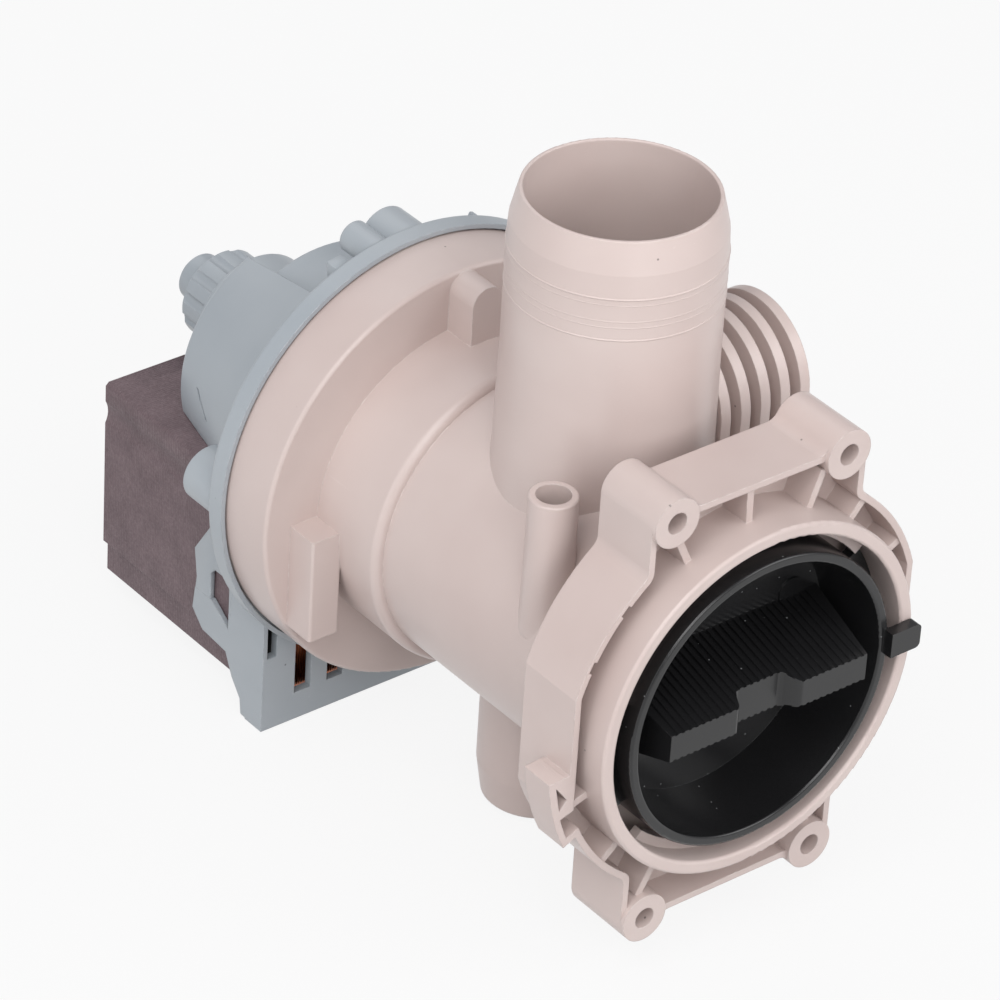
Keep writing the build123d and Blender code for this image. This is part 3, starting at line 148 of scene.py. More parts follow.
@dataclass(frozen=True)
class EdgeWear:
    """Rubbed edges: where a rounded normal leaves the flat one, broken up by a chip pattern."""

    round_mm: float = 0.35
    chip_mm: float = 2.4
    amount: float = 0.6
    samples: int = 4
    # Agreement of rounded and flat normal where wear starts and where it is full
    start: float = 0.995
    full: float = 0.86
    # Share of the chip pattern where wear starts and where it is full
    chip_start: float = 0.44
    chip_full: float = 0.64

    def masks(self, tree: bpy.types.NodeTree, place: bpy.types.NodeSocket) -> tuple[Any, Any]:
        """Adds the rounded normal and the wear mask.

        Args:
            tree: node tree of the material.
            place: the object coordinates.

        Returns:
            The rounded normal and the mask, from 0 to amount.
        """
        bevel = add(tree, "Bevel", {"samples": self.samples}, {"Radius": self.round_mm * MM})
        flat = add(tree, "NewGeometry")
        facing = add(
            tree, "VectorMath", {"operation": "DOT_PRODUCT"},
            {0: bevel.outputs["Normal"], 1: flat.outputs["Normal"]},
        )
        edge = add(
            tree, "MapRange", {"interpolation_type": "SMOOTHSTEP"},
            {"Value": facing.outputs["Value"], "From Min": self.start, "From Max": self.full},
        )
        chip = add(
            tree, "TexNoise", {},
            {"Vector": place, "Scale": per_mm(self.chip_mm), "Detail": 5.0, "Roughness": 0.6},
        )
        broken = add(
            tree, "MapRange", {},
            {
                "Value": chip.outputs["Fac"], "From Min": self.chip_start,
                "From Max": self.chip_full, "To Min": 0.0, "To Max": self.amount,
            },
        )
        mask = add(
            tree, "Math", {"operation": "MULTIPLY"},
            {0: edge.outputs["Result"], 1: broken.outputs["Result"]},
        )
        return bevel.outputs["Normal"], mask.outputs["Value"]


@dataclass(frozen=True)
class Scuffs:
    """Thin handling marks: a noise drawn out one way, of which only the crests show."""

    width_mm: float = 0.5
    length_mm: float = 9.0
    start: float = 0.74
    fade: float = 0.08
    # Coarseness of the drawn-out noise, counted in scuffs
    pattern: float = 0.35
    turn: tuple[float, float, float] = (0.4, 0.9, 0.3)

    def mask(self, tree: bpy.types.NodeTree, place: bpy.types.NodeSocket) -> Any:
        """Adds the scuff pattern.

        Args:
            tree: node tree of the material.
            place: the object coordinates.

        Returns:
            A mask from 0 to 1.
        """
        turned = add(
            tree, "Mapping", {},
            {
                "Vector": place, "Rotation": self.turn,
                "Scale": (per_mm(self.width_mm), per_mm(self.length_mm), per_mm(self.width_mm)),
            },
        )
        streak = add(
            tree, "TexNoise", {},
            {
                "Vector": turned.outputs["Vector"], "Scale": self.pattern, "Detail": 3.0,
                "Distortion": 0.4,
            },
        )
        crest = add(
            tree, "MapRange", {},
            {
                "Value": streak.outputs["Fac"], "From Min": self.start,
                "From Max": self.start + self.fade,
            },
        )
        return crest.outputs["Result"]


@dataclass(frozen=True)
class Specks:
    """Single specks of dirt or pigment: the centres of a few cells out of many."""

    cell_mm: float = 7.0
    speck_mm: float = 0.32
    share: float = 0.25
    core: float = 0.6

    def mask(self, tree: bpy.types.NodeTree, place: bpy.types.NodeSocket) -> Any:
        """Adds the speck pattern.

        Args:
            tree: node tree of the material.
            place: the object coordinates.

        Returns:
            A mask from 0 to 1.
        """
        cells = add(tree, "TexVoronoi", {}, {"Vector": place, "Scale": per_mm(self.cell_mm)})
        size = self.speck_mm / self.cell_mm
        dot = add(
            tree, "MapRange", {},
            {"Value": cells.outputs["Distance"], "From Min": size, "From Max": size * self.core},
        )
        chosen = add(
            tree, "Math", {"operation": "LESS_THAN"},
            {0: cells.outputs["Color"], 1: self.share},
        )
        both = add(
            tree, "Math", {"operation": "MULTIPLY"},
            {0: dot.outputs["Result"], 1: chosen.outputs["Value"]},
        )
        return both.outputs["Value"]


def blended(tree: bpy.types.NodeTree, share: Any, first: Any, second: Any, blend: str = "MIX") -> Any:
    """Mixes two colours.

    Args:
        tree: node tree of the material.
        share: how much of the second colour, a number or an output.
        first: colour, or output that gives it.
        second: colour, or output that gives it.
        blend: how the second colour goes on the first.

    Returns:
        The output with the mixed colour.
    """
    mixed = add(
        tree, "Mix", {"data_type": "RGBA", "blend_type": blend, "clamp_factor": True},
        {0: share, 6: first, 7: second},
    )
    return mixed.outputs[2]


def between(tree: bpy.types.NodeTree, value: Any, low: float, high: float) -> Any:
    """Spreads the middle part of a noise pattern over a range.

    Args:
        tree: node tree of the material.
        value: the pattern's output.
        low: result where the pattern is low.
        high: result where the pattern is high.

    Returns:
        The output with the result.
    """
    spread = add(
        tree, "MapRange", {},
        {
            "Value": value, "From Min": PATTERN_LOW, "From Max": PATTERN_HIGH, "To Min": low,
            "To Max": high,
        },
    )
    return spread.outputs["Result"]


def close(tree: bpy.types.NodeTree, shader: dict[str, Any]) -> bpy.types.Material:
    """Adds the surface shader and the output.

    Args:
        tree: node tree of the material.
        shader: values and links of the surface shader.

    Returns:
        The finished material.
    """
    principled = add(tree, "BsdfPrincipled", {}, shader)
    add(tree, "OutputMaterial", {}, {"Surface": principled.outputs["BSDF"]})
    return material_of(tree)


@dataclass(frozen=True)
class MouldedPlastic:
    """Injection-moulded thermoplastic: even colour, fine tool grain, faint sink and rubbed edges."""

    name: str
    colour: str
    shade: str
    worn: str
    speck: str
    roughness: float
    ior: float = 1.52
    cloud_mm: float = 34.0
    sink_mm: float = 11.0
    sink_height_mm: float = 0.02
    grain_mm: float = 0.42
    grain_height_mm: float = 0.0025
    wear: EdgeWear = EdgeWear()
    scuffs: Scuffs = Scuffs()
    specks: Specks = Specks()
    scuff_amount: float = 0.18
    speck_amount: float = 0.7
    # How far the roughness goes below and above its value, and what a scuff adds
    smoother: float = 0.03
    rougher: float = 0.04
    scuff_roughness: float = 0.12

    def material(self) -> bpy.types.Material:
        """Builds the material."""
        tree = surface(self.name)
        place = add(tree, "TexCoord").outputs["Object"]
        cloud = add(
            tree, "TexNoise", {},
            {"Vector": place, "Scale": per_mm(self.cloud_mm), "Detail": 3.0, "Roughness": 0.5},
        ).outputs["Fac"]
        sink = add(
            tree, "TexNoise", {},
            {"Vector": place, "Scale": per_mm(self.sink_mm), "Detail": 1.0},
        ).outputs["Fac"]
        grain = add(
            tree, "TexNoise", {},
            {"Vector": place, "Scale": per_mm(self.grain_mm), "Detail": 2.0, "Roughness": 0.6},
        ).outputs["Fac"]
        rounded, worn = self.wear.masks(tree, place)
        scuffed = self.scuffs.mask(tree, place)
        specked = self.specks.mask(tree, place)
        scuff_share = add(
            tree, "Math", {"operation": "MULTIPLY"}, {0: scuffed, 1: self.scuff_amount},
        ).outputs["Value"]
        speck_share = add(
            tree, "Math", {"operation": "MULTIPLY"}, {0: specked, 1: self.speck_amount},
        ).outputs["Value"]
        base = blended(tree, between(tree, cloud, 0.0, 1.0), srgb(self.shade), srgb(self.colour))
        base = blended(tree, scuff_share, base, srgb(self.worn))
        base = blended(tree, speck_share, base, srgb(self.speck))
        base = blended(tree, worn, base, srgb(self.worn))
        gloss = between(
            tree, cloud, self.roughness - self.smoother, self.roughness + self.rougher,
        )
        rubbed = add(
            tree, "Math", {"operation": "MULTIPLY_ADD", "use_clamp": True},
            {0: scuffed, 1: self.scuff_roughness, 2: gloss},
        ).outputs["Value"]
        waved = add(
            tree, "Bump", {},
            {"Height": sink, "Distance": self.sink_height_mm * MM, "Normal": rounded},
        )
        grained = add(
            tree, "Bump", {},
            {
                "Height": grain, "Distance": self.grain_height_mm * MM,
                "Normal": waved.outputs["Normal"],
            },
        )
        return close(tree, {
            "Base Color": base, "Roughness": rubbed, "IOR": self.ior,
            "Normal": grained.outputs["Normal"],
        })


@dataclass(frozen=True)
class Rubber:
    """Moulded nitrile rubber: dull black with a faint grey bloom and a soft grain."""

    name: str
    colour: str = "#1b1b1c"
    bloom: str = "#3a3a3b"
    roughness: float = 0.62
    rougher: float = 0.12
    ior: float = 1.52
    bloom_amount: float = 0.6
    bloom_mm: float = 5.0
    grain_mm: float = 0.3
    grain_height_mm: float = 0.01

    def material(self) -> bpy.types.Material:
        """Builds the material."""
        tree = surface(self.name)
        place = add(tree, "TexCoord").outputs["Object"]
        bloom = add(
            tree, "TexNoise", {},
            {"Vector": place, "Scale": per_mm(self.bloom_mm), "Detail": 5.0, "Roughness": 0.65},
        ).outputs["Fac"]
        grain = add(
            tree, "TexNoise", {}, {"Vector": place, "Scale": per_mm(self.grain_mm), "Detail": 2.0},
        ).outputs["Fac"]
        bumped = add(
            tree, "Bump", {}, {"Height": grain, "Distance": self.grain_height_mm * MM},
        ).outputs["Normal"]
        base = blended(
            tree, between(tree, bloom, 0.0, self.bloom_amount), srgb(self.colour), srgb(self.bloom),
        )
        return close(tree, {
            "Base Color": base, "IOR": self.ior, "Normal": bumped,
            "Roughness": between(tree, bloom, self.roughness, self.roughness + self.rougher),
        })


@dataclass(frozen=True)
class LacqueredSteel:
    """Dipped steel sheets: a thin brown-violet lacquer over the punched edges, satin and speckled."""

    name: str
    colour: str = "#7c6a6e"
    shade: str = "#6a595d"
    bare: str = "#a39ca0"
    roughness: float = 0.5
    smoother: float = 0.08
    rougher: float = 0.1
    metallic: float = 0.25
    ior: float = 1.5
    cloud_mm: float = 9.0
    speckle_mm: float = 0.55
    speckle_height_mm: float = 0.012
    speckle_amount: float = 0.35
    wear: EdgeWear = EdgeWear(round_mm=0.25, chip_mm=1.2, amount=0.55)

    def material(self) -> bpy.types.Material:
        """Builds the material."""
        tree = surface(self.name)
        place = add(tree, "TexCoord").outputs["Object"]
        cloud = add(
            tree, "TexNoise", {},
            {"Vector": place, "Scale": per_mm(self.cloud_mm), "Detail": 5.0, "Roughness": 0.6},
        ).outputs["Fac"]
        speckle = add(
            tree, "TexNoise", {},
            {"Vector": place, "Scale": per_mm(self.speckle_mm), "Detail": 3.0, "Roughness": 0.7},
        ).outputs["Fac"]
        rounded, worn = self.wear.masks(tree, place)
        base = blended(tree, between(tree, cloud, 0.0, 1.0), srgb(self.shade), srgb(self.colour))
        speckled = between(tree, speckle, 0.0, self.speckle_amount)
        base = blended(tree, speckled, base, srgb(self.shade), "MULTIPLY")
        base = blended(tree, worn, base, srgb(self.bare))
        bumped = add(
            tree, "Bump", {},
            {"Height": speckle, "Distance": self.speckle_height_mm * MM, "Normal": rounded},
        ).outputs["Normal"]
        return close(tree, {
            "Base Color": base, "Metallic": self.metallic, "IOR": self.ior, "Normal": bumped,
            "Roughness": between(
                tree, speckle, self.roughness - self.smoother, self.roughness + self.rougher,
            ),
        })


@dataclass(frozen=True)
class BareMetal:
    """Plated, turned or sintered metal: reflecting, blotched by handling, with a fine tool mark."""

    name: str
    colour: str
    tarnish: str
    roughness: float
    blotch_mm: float = 3.0
    mark_mm: tuple[float, float, float] = (0.25, 0.25, 0.25)
    mark_height_mm: float = 0.004
    tarnish_amount: float = 0.5
    smoother: float = 0.06
    rougher: float = 0.1

    def material(self) -> bpy.types.Material:
        """Builds the material."""
        tree = surface(self.name)
        place = add(tree, "TexCoord").outputs["Object"]
        blotch = add(
            tree, "TexNoise", {},
            {"Vector": place, "Scale": per_mm(self.blotch_mm), "Detail": 5.0, "Roughness": 0.6},
        ).outputs["Fac"]
        drawn = add(
            tree, "Mapping", {},
            {"Vector": place, "Scale": tuple(per_mm(size) for size in self.mark_mm)},
        ).outputs["Vector"]
        mark = add(
            tree, "TexNoise", {}, {"Vector": drawn, "Scale": 1.0, "Detail": 2.0},
        ).outputs["Fac"]
        bumped = add(
            tree, "Bump", {}, {"Height": mark, "Distance": self.mark_height_mm * MM},
        ).outputs["Normal"]
        base = blended(
            tree, between(tree, blotch, 0.0, self.tarnish_amount),
            srgb(self.colour), srgb(self.tarnish),
        )
        return close(tree, {
            "Base Color": base, "Metallic": 1.0, "Normal": bumped,
            "Roughness": between(
                tree, blotch, self.roughness - self.smoother, self.roughness + self.rougher,
            ),
        })


@dataclass(frozen=True)
class EnamelledCopper:
    """Copper wire under a thin amber enamel: warm, shiny, and darker where the enamel is thick."""

    name: str
    colour: str = "#b5673c"
    dark: str = "#74371f"
    dark_amount: float = 0.7
    roughness: float = 0.28
    smoother: float = 0.05
    rougher: float = 0.1
    enamel: float = 0.6
    enamel_roughness: float = 0.12
    patch_mm: float = 2.5

    def material(self) -> bpy.types.Material:
        """Builds the material."""
        tree = surface(self.name)
        place = add(tree, "TexCoord").outputs["Object"]
        patch = add(
            tree, "TexNoise", {},
            {"Vector": place, "Scale": per_mm(self.patch_mm), "Detail": 3.0},
        ).outputs["Fac"]
        base = blended(
            tree, between(tree, patch, 0.0, self.dark_amount), srgb(self.colour), srgb(self.dark),
        )
        return close(tree, {
            "Base Color": base, "Metallic": 1.0, "Coat Weight": self.enamel,
            "Coat Roughness": self.enamel_roughness,
            "Roughness": between(
                tree, patch, self.roughness - self.smoother, self.roughness + self.rougher,
            ),
        })


@dataclass(frozen=True)
class Ferrite:
    """Sintered ferrite: near black, dull and granular, with ground faces."""

    name: str
    colour: str = "#2c2b2d"
    grit: str = "#454348"
    grit_mm: float = 0.4
    grit_height_mm: float = 0.015
    grit_amount: float = 0.8
    ground_roughness: float = 0.45
    grain_roughness: float = 0.62
    ior: float = 1.6

    def material(self) -> bpy.types.Material:
        """Builds the material."""
        tree = surface(self.name)
        place = add(tree, "TexCoord").outputs["Object"]
        grit = add(
            tree, "TexNoise", {},
            {"Vector": place, "Scale": per_mm(self.grit_mm), "Detail": 4.0, "Roughness": 0.7},
        ).outputs["Fac"]
        bumped = add(
            tree, "Bump", {}, {"Height": grit, "Distance": self.grit_height_mm * MM},
        ).outputs["Normal"]
        base = blended(
            tree, between(tree, grit, 0.0, self.grit_amount), srgb(self.colour), srgb(self.grit),
        )
        return close(tree, {
            "Base Color": base, "IOR": self.ior, "Normal": bumped,
            "Roughness": between(tree, grit, self.ground_roughness, self.grain_roughness),
        })


class Finish(Enum):
    """Every finish on the pump, by what it is on the real one."""

    # Glass-filled polypropylene in a pinkish beige: satin, a little warmer in its shade
    PUMP_MOULDING = MouldedPlastic(
        "beige_polypropylene", "#c9bab5", "#c1b0ab", "#ece4e0", "#4c4340", 0.34,
    )
    # The same beige on a turned ring, which nothing rubs
    PUMP_RING = MouldedPlastic(
        "beige_polypropylene_ring", "#cbbcb7", "#c5b5b0", "#d6cac6", "#b5a5a0", 0.3,
        wear=EdgeWear(amount=0.0), scuff_amount=0.0, speck_amount=0.0,
    )
    # Blue-grey polyester moulding of the motor: cooler and slightly glossier
    MOTOR_MOULDING = MouldedPlastic(
        "blue_grey_polyester", "#a5abb0", "#9aa1a7", "#d4d8db", "#4a4f52", 0.36,
        scuff_amount=0.2,
    )
    # Black ABS of the filter cap: semi-gloss with grey dust and pale handling marks
    CAP_MOULDING = MouldedPlastic(
        "black_abs", "#1d1d1e", "#171718", "#5a5b5c", "#8b8d8e", 0.22,
        wear=EdgeWear(round_mm=0.12, chip_mm=3.0, amount=0.08),
        specks=Specks(cell_mm=2.4, speck_mm=0.2, share=0.3), scuff_amount=0.12,
    )
    # White acetal of the impeller and its driver
    WHITE_MOULDING = MouldedPlastic(
        "white_acetal", "#e2e0da", "#d6d3cc", "#f0efec", "#8f8c86", 0.38,
    )
    # Black glass-filled nylon of the coil former and terminal block
    FORMER_MOULDING = MouldedPlastic(
        "black_glass_filled_nylon", "#232324", "#1b1b1c", "#4c4c4e", "#6a6a6c", 0.46,
    )
    RUBBER = Rubber("nitrile_rubber")
    CORE = LacqueredSteel("lacquered_core_sheet")
    # Ground stainless shaft and washers: fine marks round the axis
    SHAFT = BareMetal("ground_stainless_steel", "#c9cbcc", "#a9abad", 0.2, mark_mm=(0.6, 0.1, 0.6))
    # Zinc-plated screws and rivets: pale, with a faint yellow cast
    ZINC = BareMetal("zinc_plated_steel", "#c4c5c2", "#a8a48f", 0.34)
    # Tin over brass: soft white metal with the yellow showing at rubbed places
    TINNED = BareMetal("tinned_brass", "#d0ccc0", "#b6a06a", 0.3, tarnish_amount=0.35)
    # Oil-filled sintered bronze: brown and porous
    BRONZE = BareMetal(
        "sintered_bronze", "#a8774a", "#6f4c2f", 0.48, blotch_mm=1.0, mark_height_mm=0.02,
    )
    COPPER = EnamelledCopper("enamelled_copper_wire")
    FERRITE = Ferrite("sintered_ferrite")


class Palette:
    """Makes each finish's material once and hands it out."""

    def __init__(self) -> None:
        """Starts with no material made."""
        self._made: dict[Finish, bpy.types.Material] = {}

    def material(self, finish: Finish) -> bpy.types.Material:
        """The material of a finish, made at its first use."""
        if finish not in self._made:
            self._made[finish] = finish.value.material()
        return self._made[finish]

    def paint(self, obj: bpy.types.Object, finish: Finish) -> None:
        """Puts a finish on all of an object.

        Args:
            obj: mesh object.
            finish: which finish it gets.
        """
        material = self.material(finish)
        if not obj.material_slots:
            obj.data.materials.append(material)
        for slot in obj.material_slots:
            slot.link = "OBJECT"
            slot.material = material

    def paint_node(self, name: str, finish: Finish) -> None:
        """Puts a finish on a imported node."""
        self.paint(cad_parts[name], finish)
        LOG.info("node %s dressed in %s", name, finish.value.name)


def shade(bm: bmesh.types.BMesh, sharp_over: float = MOULDED_EDGE_DEG) -> None:
    """Smooths all faces and keeps edges over an angle sharp.

    Args:
        bm: mesh to shade.
        sharp_over: angle in degrees past which an edge stays sharp.
    """
    limit = math.radians(sharp_over)
    for face in bm.faces:
        face.smooth = True
    for edge in bm.edges:
        edge.smooth = len(edge.link_faces) == 2 and edge.calc_face_angle(0.0) < limit


def finished(
    bm: bmesh.types.BMesh,
    name: str,
    body: str,
    paint: Callable[[bpy.types.Object], None],
    replaces: tuple[str, ...] = (),
) -> bpy.types.Object:
    """Turns a mesh in the making to a piece that rides on its body.

    Args:
        bm: the mesh, in metres, in the part's frame. It is freed.
        name: the piece's name.
        body: the body that it moves with.
        paint: puts the finish on it.
        replaces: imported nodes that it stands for.

    Returns:
        The new object.
    """
    mesh = bpy.data.meshes.new(name)
    bm.to_mesh(mesh)
    bm.free()
    obj = bpy.data.objects.new(name, mesh)
    bpy.context.scene.collection.objects.link(obj)
    paint(obj)
    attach(obj, body)
    if replaces:
        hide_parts(*replaces)
    LOG.info("piece %s: %d faces, on body %s", name, len(mesh.polygons), body)
    return obj


def copy_of(node: str) -> bmesh.types.BMesh:
    """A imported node's mesh with its loose triangles joined.

    Args:
        node: the node's name.

    Returns:
        A new mesh with doubles merged and flat triangles dissolved.
    """
    bm = bmesh.new()
    bm.from_mesh(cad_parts[node].data)
    bmesh.ops.remove_doubles(bm, verts=bm.verts, dist=DOUBLES_MM * MM)
    bmesh.ops.dissolve_limit(
        bm, angle_limit=math.radians(FLAT_DEG), verts=bm.verts, edges=bm.edges,
    )
    return bm


@dataclass
class LaminatedCore:
    """The core, its yoke bar and pole shoes, as stacks of punched sheets."""

    palette: Palette
    sheet_mm: float = 0.65
    groove_mm: float = 0.06
    groove_depth_mm: float = 0.05
    # A corner this near to a cut or a joint lies on it
    cut_snap_mm: float = 0.001
    joint_snap_mm: float = 0.004
    # A corner whose normal lies this much in the sheet's plane is on the stack's outside
    outside: float = 0.5
    body: str = "pump"
    nodes: tuple[str, ...] = ("stator_core", "stator_yoke", "pole_shoes")

    def build(self) -> None:
        """Builds and dresses each stack."""
        for node in self.nodes:
            bm = self._stack(node)
            finished(
                bm, f"{node}_sheets", self.body,
                lambda obj: self.palette.paint(obj, Finish.CORE), (node,),
            )
        self.palette.paint_node("core_rivets", Finish.ZINC)

    def _stack(self, node: str) -> bmesh.types.BMesh:
        """Cuts a shallow groove round a node's mesh between each two sheets.

        Args:
            node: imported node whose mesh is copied.

        Returns:
            The grooved mesh.
        """
        bm = copy_of(node)
        front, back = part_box(node)[0].y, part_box(node)[1].y
        sheets = round((back - front) / (self.sheet_mm * MM))
        pitch = (back - front) / sheets
        half = self.groove_mm * MM / 2
        joints = [front + pitch * i for i in range(1, sheets)]
        for joint in joints:
            for y in (joint - half, joint, joint + half):
                bmesh.ops.bisect_plane(
                    bm, geom=[*bm.verts, *bm.edges, *bm.faces], dist=self.cut_snap_mm * MM,
                    plane_co=(0, y, 0), plane_no=(0, 1, 0),
                )
        bm.normal_update()
        moves = []
        for vert in bm.verts:
            offset = (vert.co.y - front) / pitch
            away = abs(offset - round(offset)) * pitch
            if 0.5 < offset < sheets - 0.5 and away < self.joint_snap_mm * MM:
                inward = Vector((vert.normal.x, 0, vert.normal.z))
                if inward.length > self.outside:
                    moves.append((vert, inward.normalized() * self.groove_depth_mm * MM))
        for vert, move in moves:
            vert.co -= move
        shade(bm, PUNCHED_EDGE_DEG)
        return bm


@dataclass
class WoundCoil:
    """Enamelled wire in close turns round the bobbin, over a plain body of the inner layers."""

    palette: Palette
    wire_mm: float = 0.62
    corner_mm: float = 3.0
    corner_steps: int = 6
    wire_sides: int = 8
    jitter_mm: float = 0.04
    weld_mm: float = 0.05
    body: str = "pump"

    def build(self) -> None:
        """Builds the outer layer of turns and the inner layers, and dresses them."""
        low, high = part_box("coil_winding")
        low, high = low / MM, high / MM
        turns = int((high.x - low.x) / self.wire_mm)
        pitch = (high.x - low.x) / turns
        rng = random.Random(SEED)
        coil = bmesh.new()
        for i in range(turns):
            shrink = self.wire_mm / 2 + self.jitter_mm * rng.random()
            self._turn(coil, low, high, low.x + pitch * (i + 0.5), shrink)
        bmesh.ops.scale(coil, vec=(MM, MM, MM), verts=coil.verts)
        bmesh.ops.recalc_face_normals(coil, faces=coil.faces)
        shade(coil, ROUND_EDGE_DEG)
        finished(
            coil, "coil_winding_turns", self.body,
            lambda obj: self.palette.paint(obj, Finish.COPPER), ("coil_winding",),
        )
        inner = copy_of("coil_winding")
        middle = (low + high) / 2 * MM
        size = (high - low) * MM
        inset = 2 * (self.wire_mm / 2 + self.jitter_mm) * MM
        fit = Matrix.Diagonal((1 - inset / size.x, 1 - inset / size.y, 1 - inset / size.z, 1))
        bmesh.ops.transform(
            inner, matrix=Matrix.Translation(middle) @ fit @ Matrix.Translation(-middle),
            verts=inner.verts,
        )
        shade(inner)
        finished(
            inner, "coil_winding_inner_layers", self.body,
            lambda obj: self.palette.paint(obj, Finish.COPPER),
        )

    def _turn(
        self, bm: bmesh.types.BMesh, low: Vector, high: Vector, x: float, shrink: float,
    ) -> None:
        """Adds one closed turn of wire.

        Args:
            bm: mesh that the turn goes into, in millimetres.
            low: lowest corner of the winding's box.
            high: highest corner of the winding's box.
            x: the turn's place along the coil.
            shrink: how far the wire's middle runs inside the box.
        """
        y0, y1 = low.y + shrink, high.y - shrink
        z0, z1 = low.z + shrink, high.z - shrink
        r = self.corner_mm
        centres = [(y1 - r, z1 - r), (y0 + r, z1 - r), (y0 + r, z0 + r), (y1 - r, z0 + r)]
        start = Matrix.Translation((x, y1, z0 + r))
        ring = bmesh.ops.create_circle(
            bm, cap_ends=False, segments=self.wire_sides, radius=self.wire_mm / 2,
            matrix=start,
        )["verts"]
        first = list(ring)
        edges = list({e for v in ring for e in v.link_edges})
        here = Vector((x, y1, z0 + r))
        for i, (cy, cz) in enumerate(centres):
            turned = math.radians(90 * i)
            target = Vector((x, cy + r * math.cos(turned), cz + r * math.sin(turned)))
            run = bmesh.ops.extrude_edge_only(bm, edges=edges)["geom"]
            verts = [g for g in run if isinstance(g, bmesh.types.BMVert)]
            bmesh.ops.translate(bm, vec=target - here, verts=verts)
            edges = [g for g in run if isinstance(g, bmesh.types.BMEdge)]
            edges = [e for e in edges if all(v in verts for v in e.verts)]
            spun = bmesh.ops.spin(
                bm, geom=verts + edges, cent=(x, cy, cz), axis=(1, 0, 0),
                angle=math.radians(90), steps=self.corner_steps, use_merge=False,
                use_duplicate=False,
            )["geom_last"]
            edges = [g for g in spun if isinstance(g, bmesh.types.BMEdge)]
            last = [g for g in spun if isinstance(g, bmesh.types.BMVert)]
            turned += math.radians(90)
            here = Vector((x, cy + r * math.cos(turned), cz + r * math.sin(turned)))
        bmesh.ops.remove_doubles(bm, verts=first + last, dist=self.weld_mm)


@dataclass
class InletBands:
    """Faint turned bands left by the mould's rings on the inlet tube."""

    palette: Palette
    axis_y_mm: float = 49.4
    radius_mm: float = 22.5
    # Height, width and how far each band stands out
    bands_mm: tuple[tuple[float, float, float], ...] = (
        (80.7, 0.5, 0.14), (79.3, 0.3, 0.05), (75.6, 0.35, 0.06), (74.2, 0.3, 0.06),
        (71.3, 0.45, 0.12),
    )
    # How deep each band's foot sits in the tube, and how full its shoulders are
    root_mm: float = 0.1
    shoulder: float = 0.8
    steps: int = 128
    body: str = "pump"

    def build(self) -> None:
        """Spins each band's small hump about the tube's axis."""
        bm = bmesh.new()
        for height, width, proud in self.bands_mm:
            shoulder = proud * self.shoulder
            hump = [
                (-width / 2, -self.root_mm), (-width / 2, 0.0), (-width / 4, shoulder),
                (0.0, proud), (width / 4, shoulder), (width / 2, 0.0),
                (width / 2, -self.root_mm),
            ]
            verts = [
                bm.verts.new((self.radius_mm + out, self.axis_y_mm, height + up))
                for up, out in hump
            ]
            edges = [bm.edges.new(pair) for pair in zip(verts, verts[1:])]
            bmesh.ops.spin(
                bm, geom=verts + edges, cent=(0, self.axis_y_mm, 0), axis=(0, 0, 1),
                angle=math.tau, steps=self.steps, use_merge=True, use_duplicate=False,
            )
        bmesh.ops.recalc_face_normals(bm, faces=bm.faces)
        bmesh.ops.scale(bm, vec=(MM, MM, MM), verts=bm.verts)
        shade(bm, ROUND_EDGE_DEG)
        finished(
            bm, "inlet_tube_bands", self.body,
            lambda obj: self.palette.paint(obj, Finish.PUMP_RING),
        )


@dataclass
class DiscRibs:
    """Two short stiffening ribs on the rear of the motor disc, beside its bosses."""

    palette: Palette
    # Outline of each rib in the disc's plane, across and up from the axis
    outlines_mm: tuple[tuple[tuple[float, float], ...], ...] = (
        ((-19.6, 46.9), (-15.6, 47.4), (-15.0, 43.6), (-19.2, 43.0)),
        ((18.3, 46.9), (19.4, 46.5), (15.2, 36.2), (14.1, 36.6)),
    )
    root_mm: float = 115.2
    height_mm: float = 4.0
    edge_mm: float = 0.4
    body: str = "pump"

    def build(self) -> None:
        """Raises each outline from the disc and rounds its edges."""
        bm = bmesh.new()
        for outline in self.outlines_mm:
            verts = [bm.verts.new((x, self.root_mm, z)) for x, z in outline]
            foot = bm.faces.new(verts)
            raised = bmesh.ops.extrude_face_region(bm, geom=[foot])["geom"]
            top = [g for g in raised if isinstance(g, bmesh.types.BMVert)]
            bmesh.ops.translate(bm, vec=(0, self.height_mm, 0), verts=top)
        bmesh.ops.recalc_face_normals(bm, faces=bm.faces)
        bmesh.ops.bevel(
            bm, geom=bm.edges[:], offset=self.edge_mm, segments=2, profile=0.5,
            affect="EDGES", material=-1,
        )
        bmesh.ops.scale(bm, vec=(MM, MM, MM), verts=bm.verts)
        shade(bm)
        finished(
            bm, "motor_disc_ribs", self.body,
            lambda obj: self.palette.paint(obj, Finish.MOTOR_MOULDING),
        )


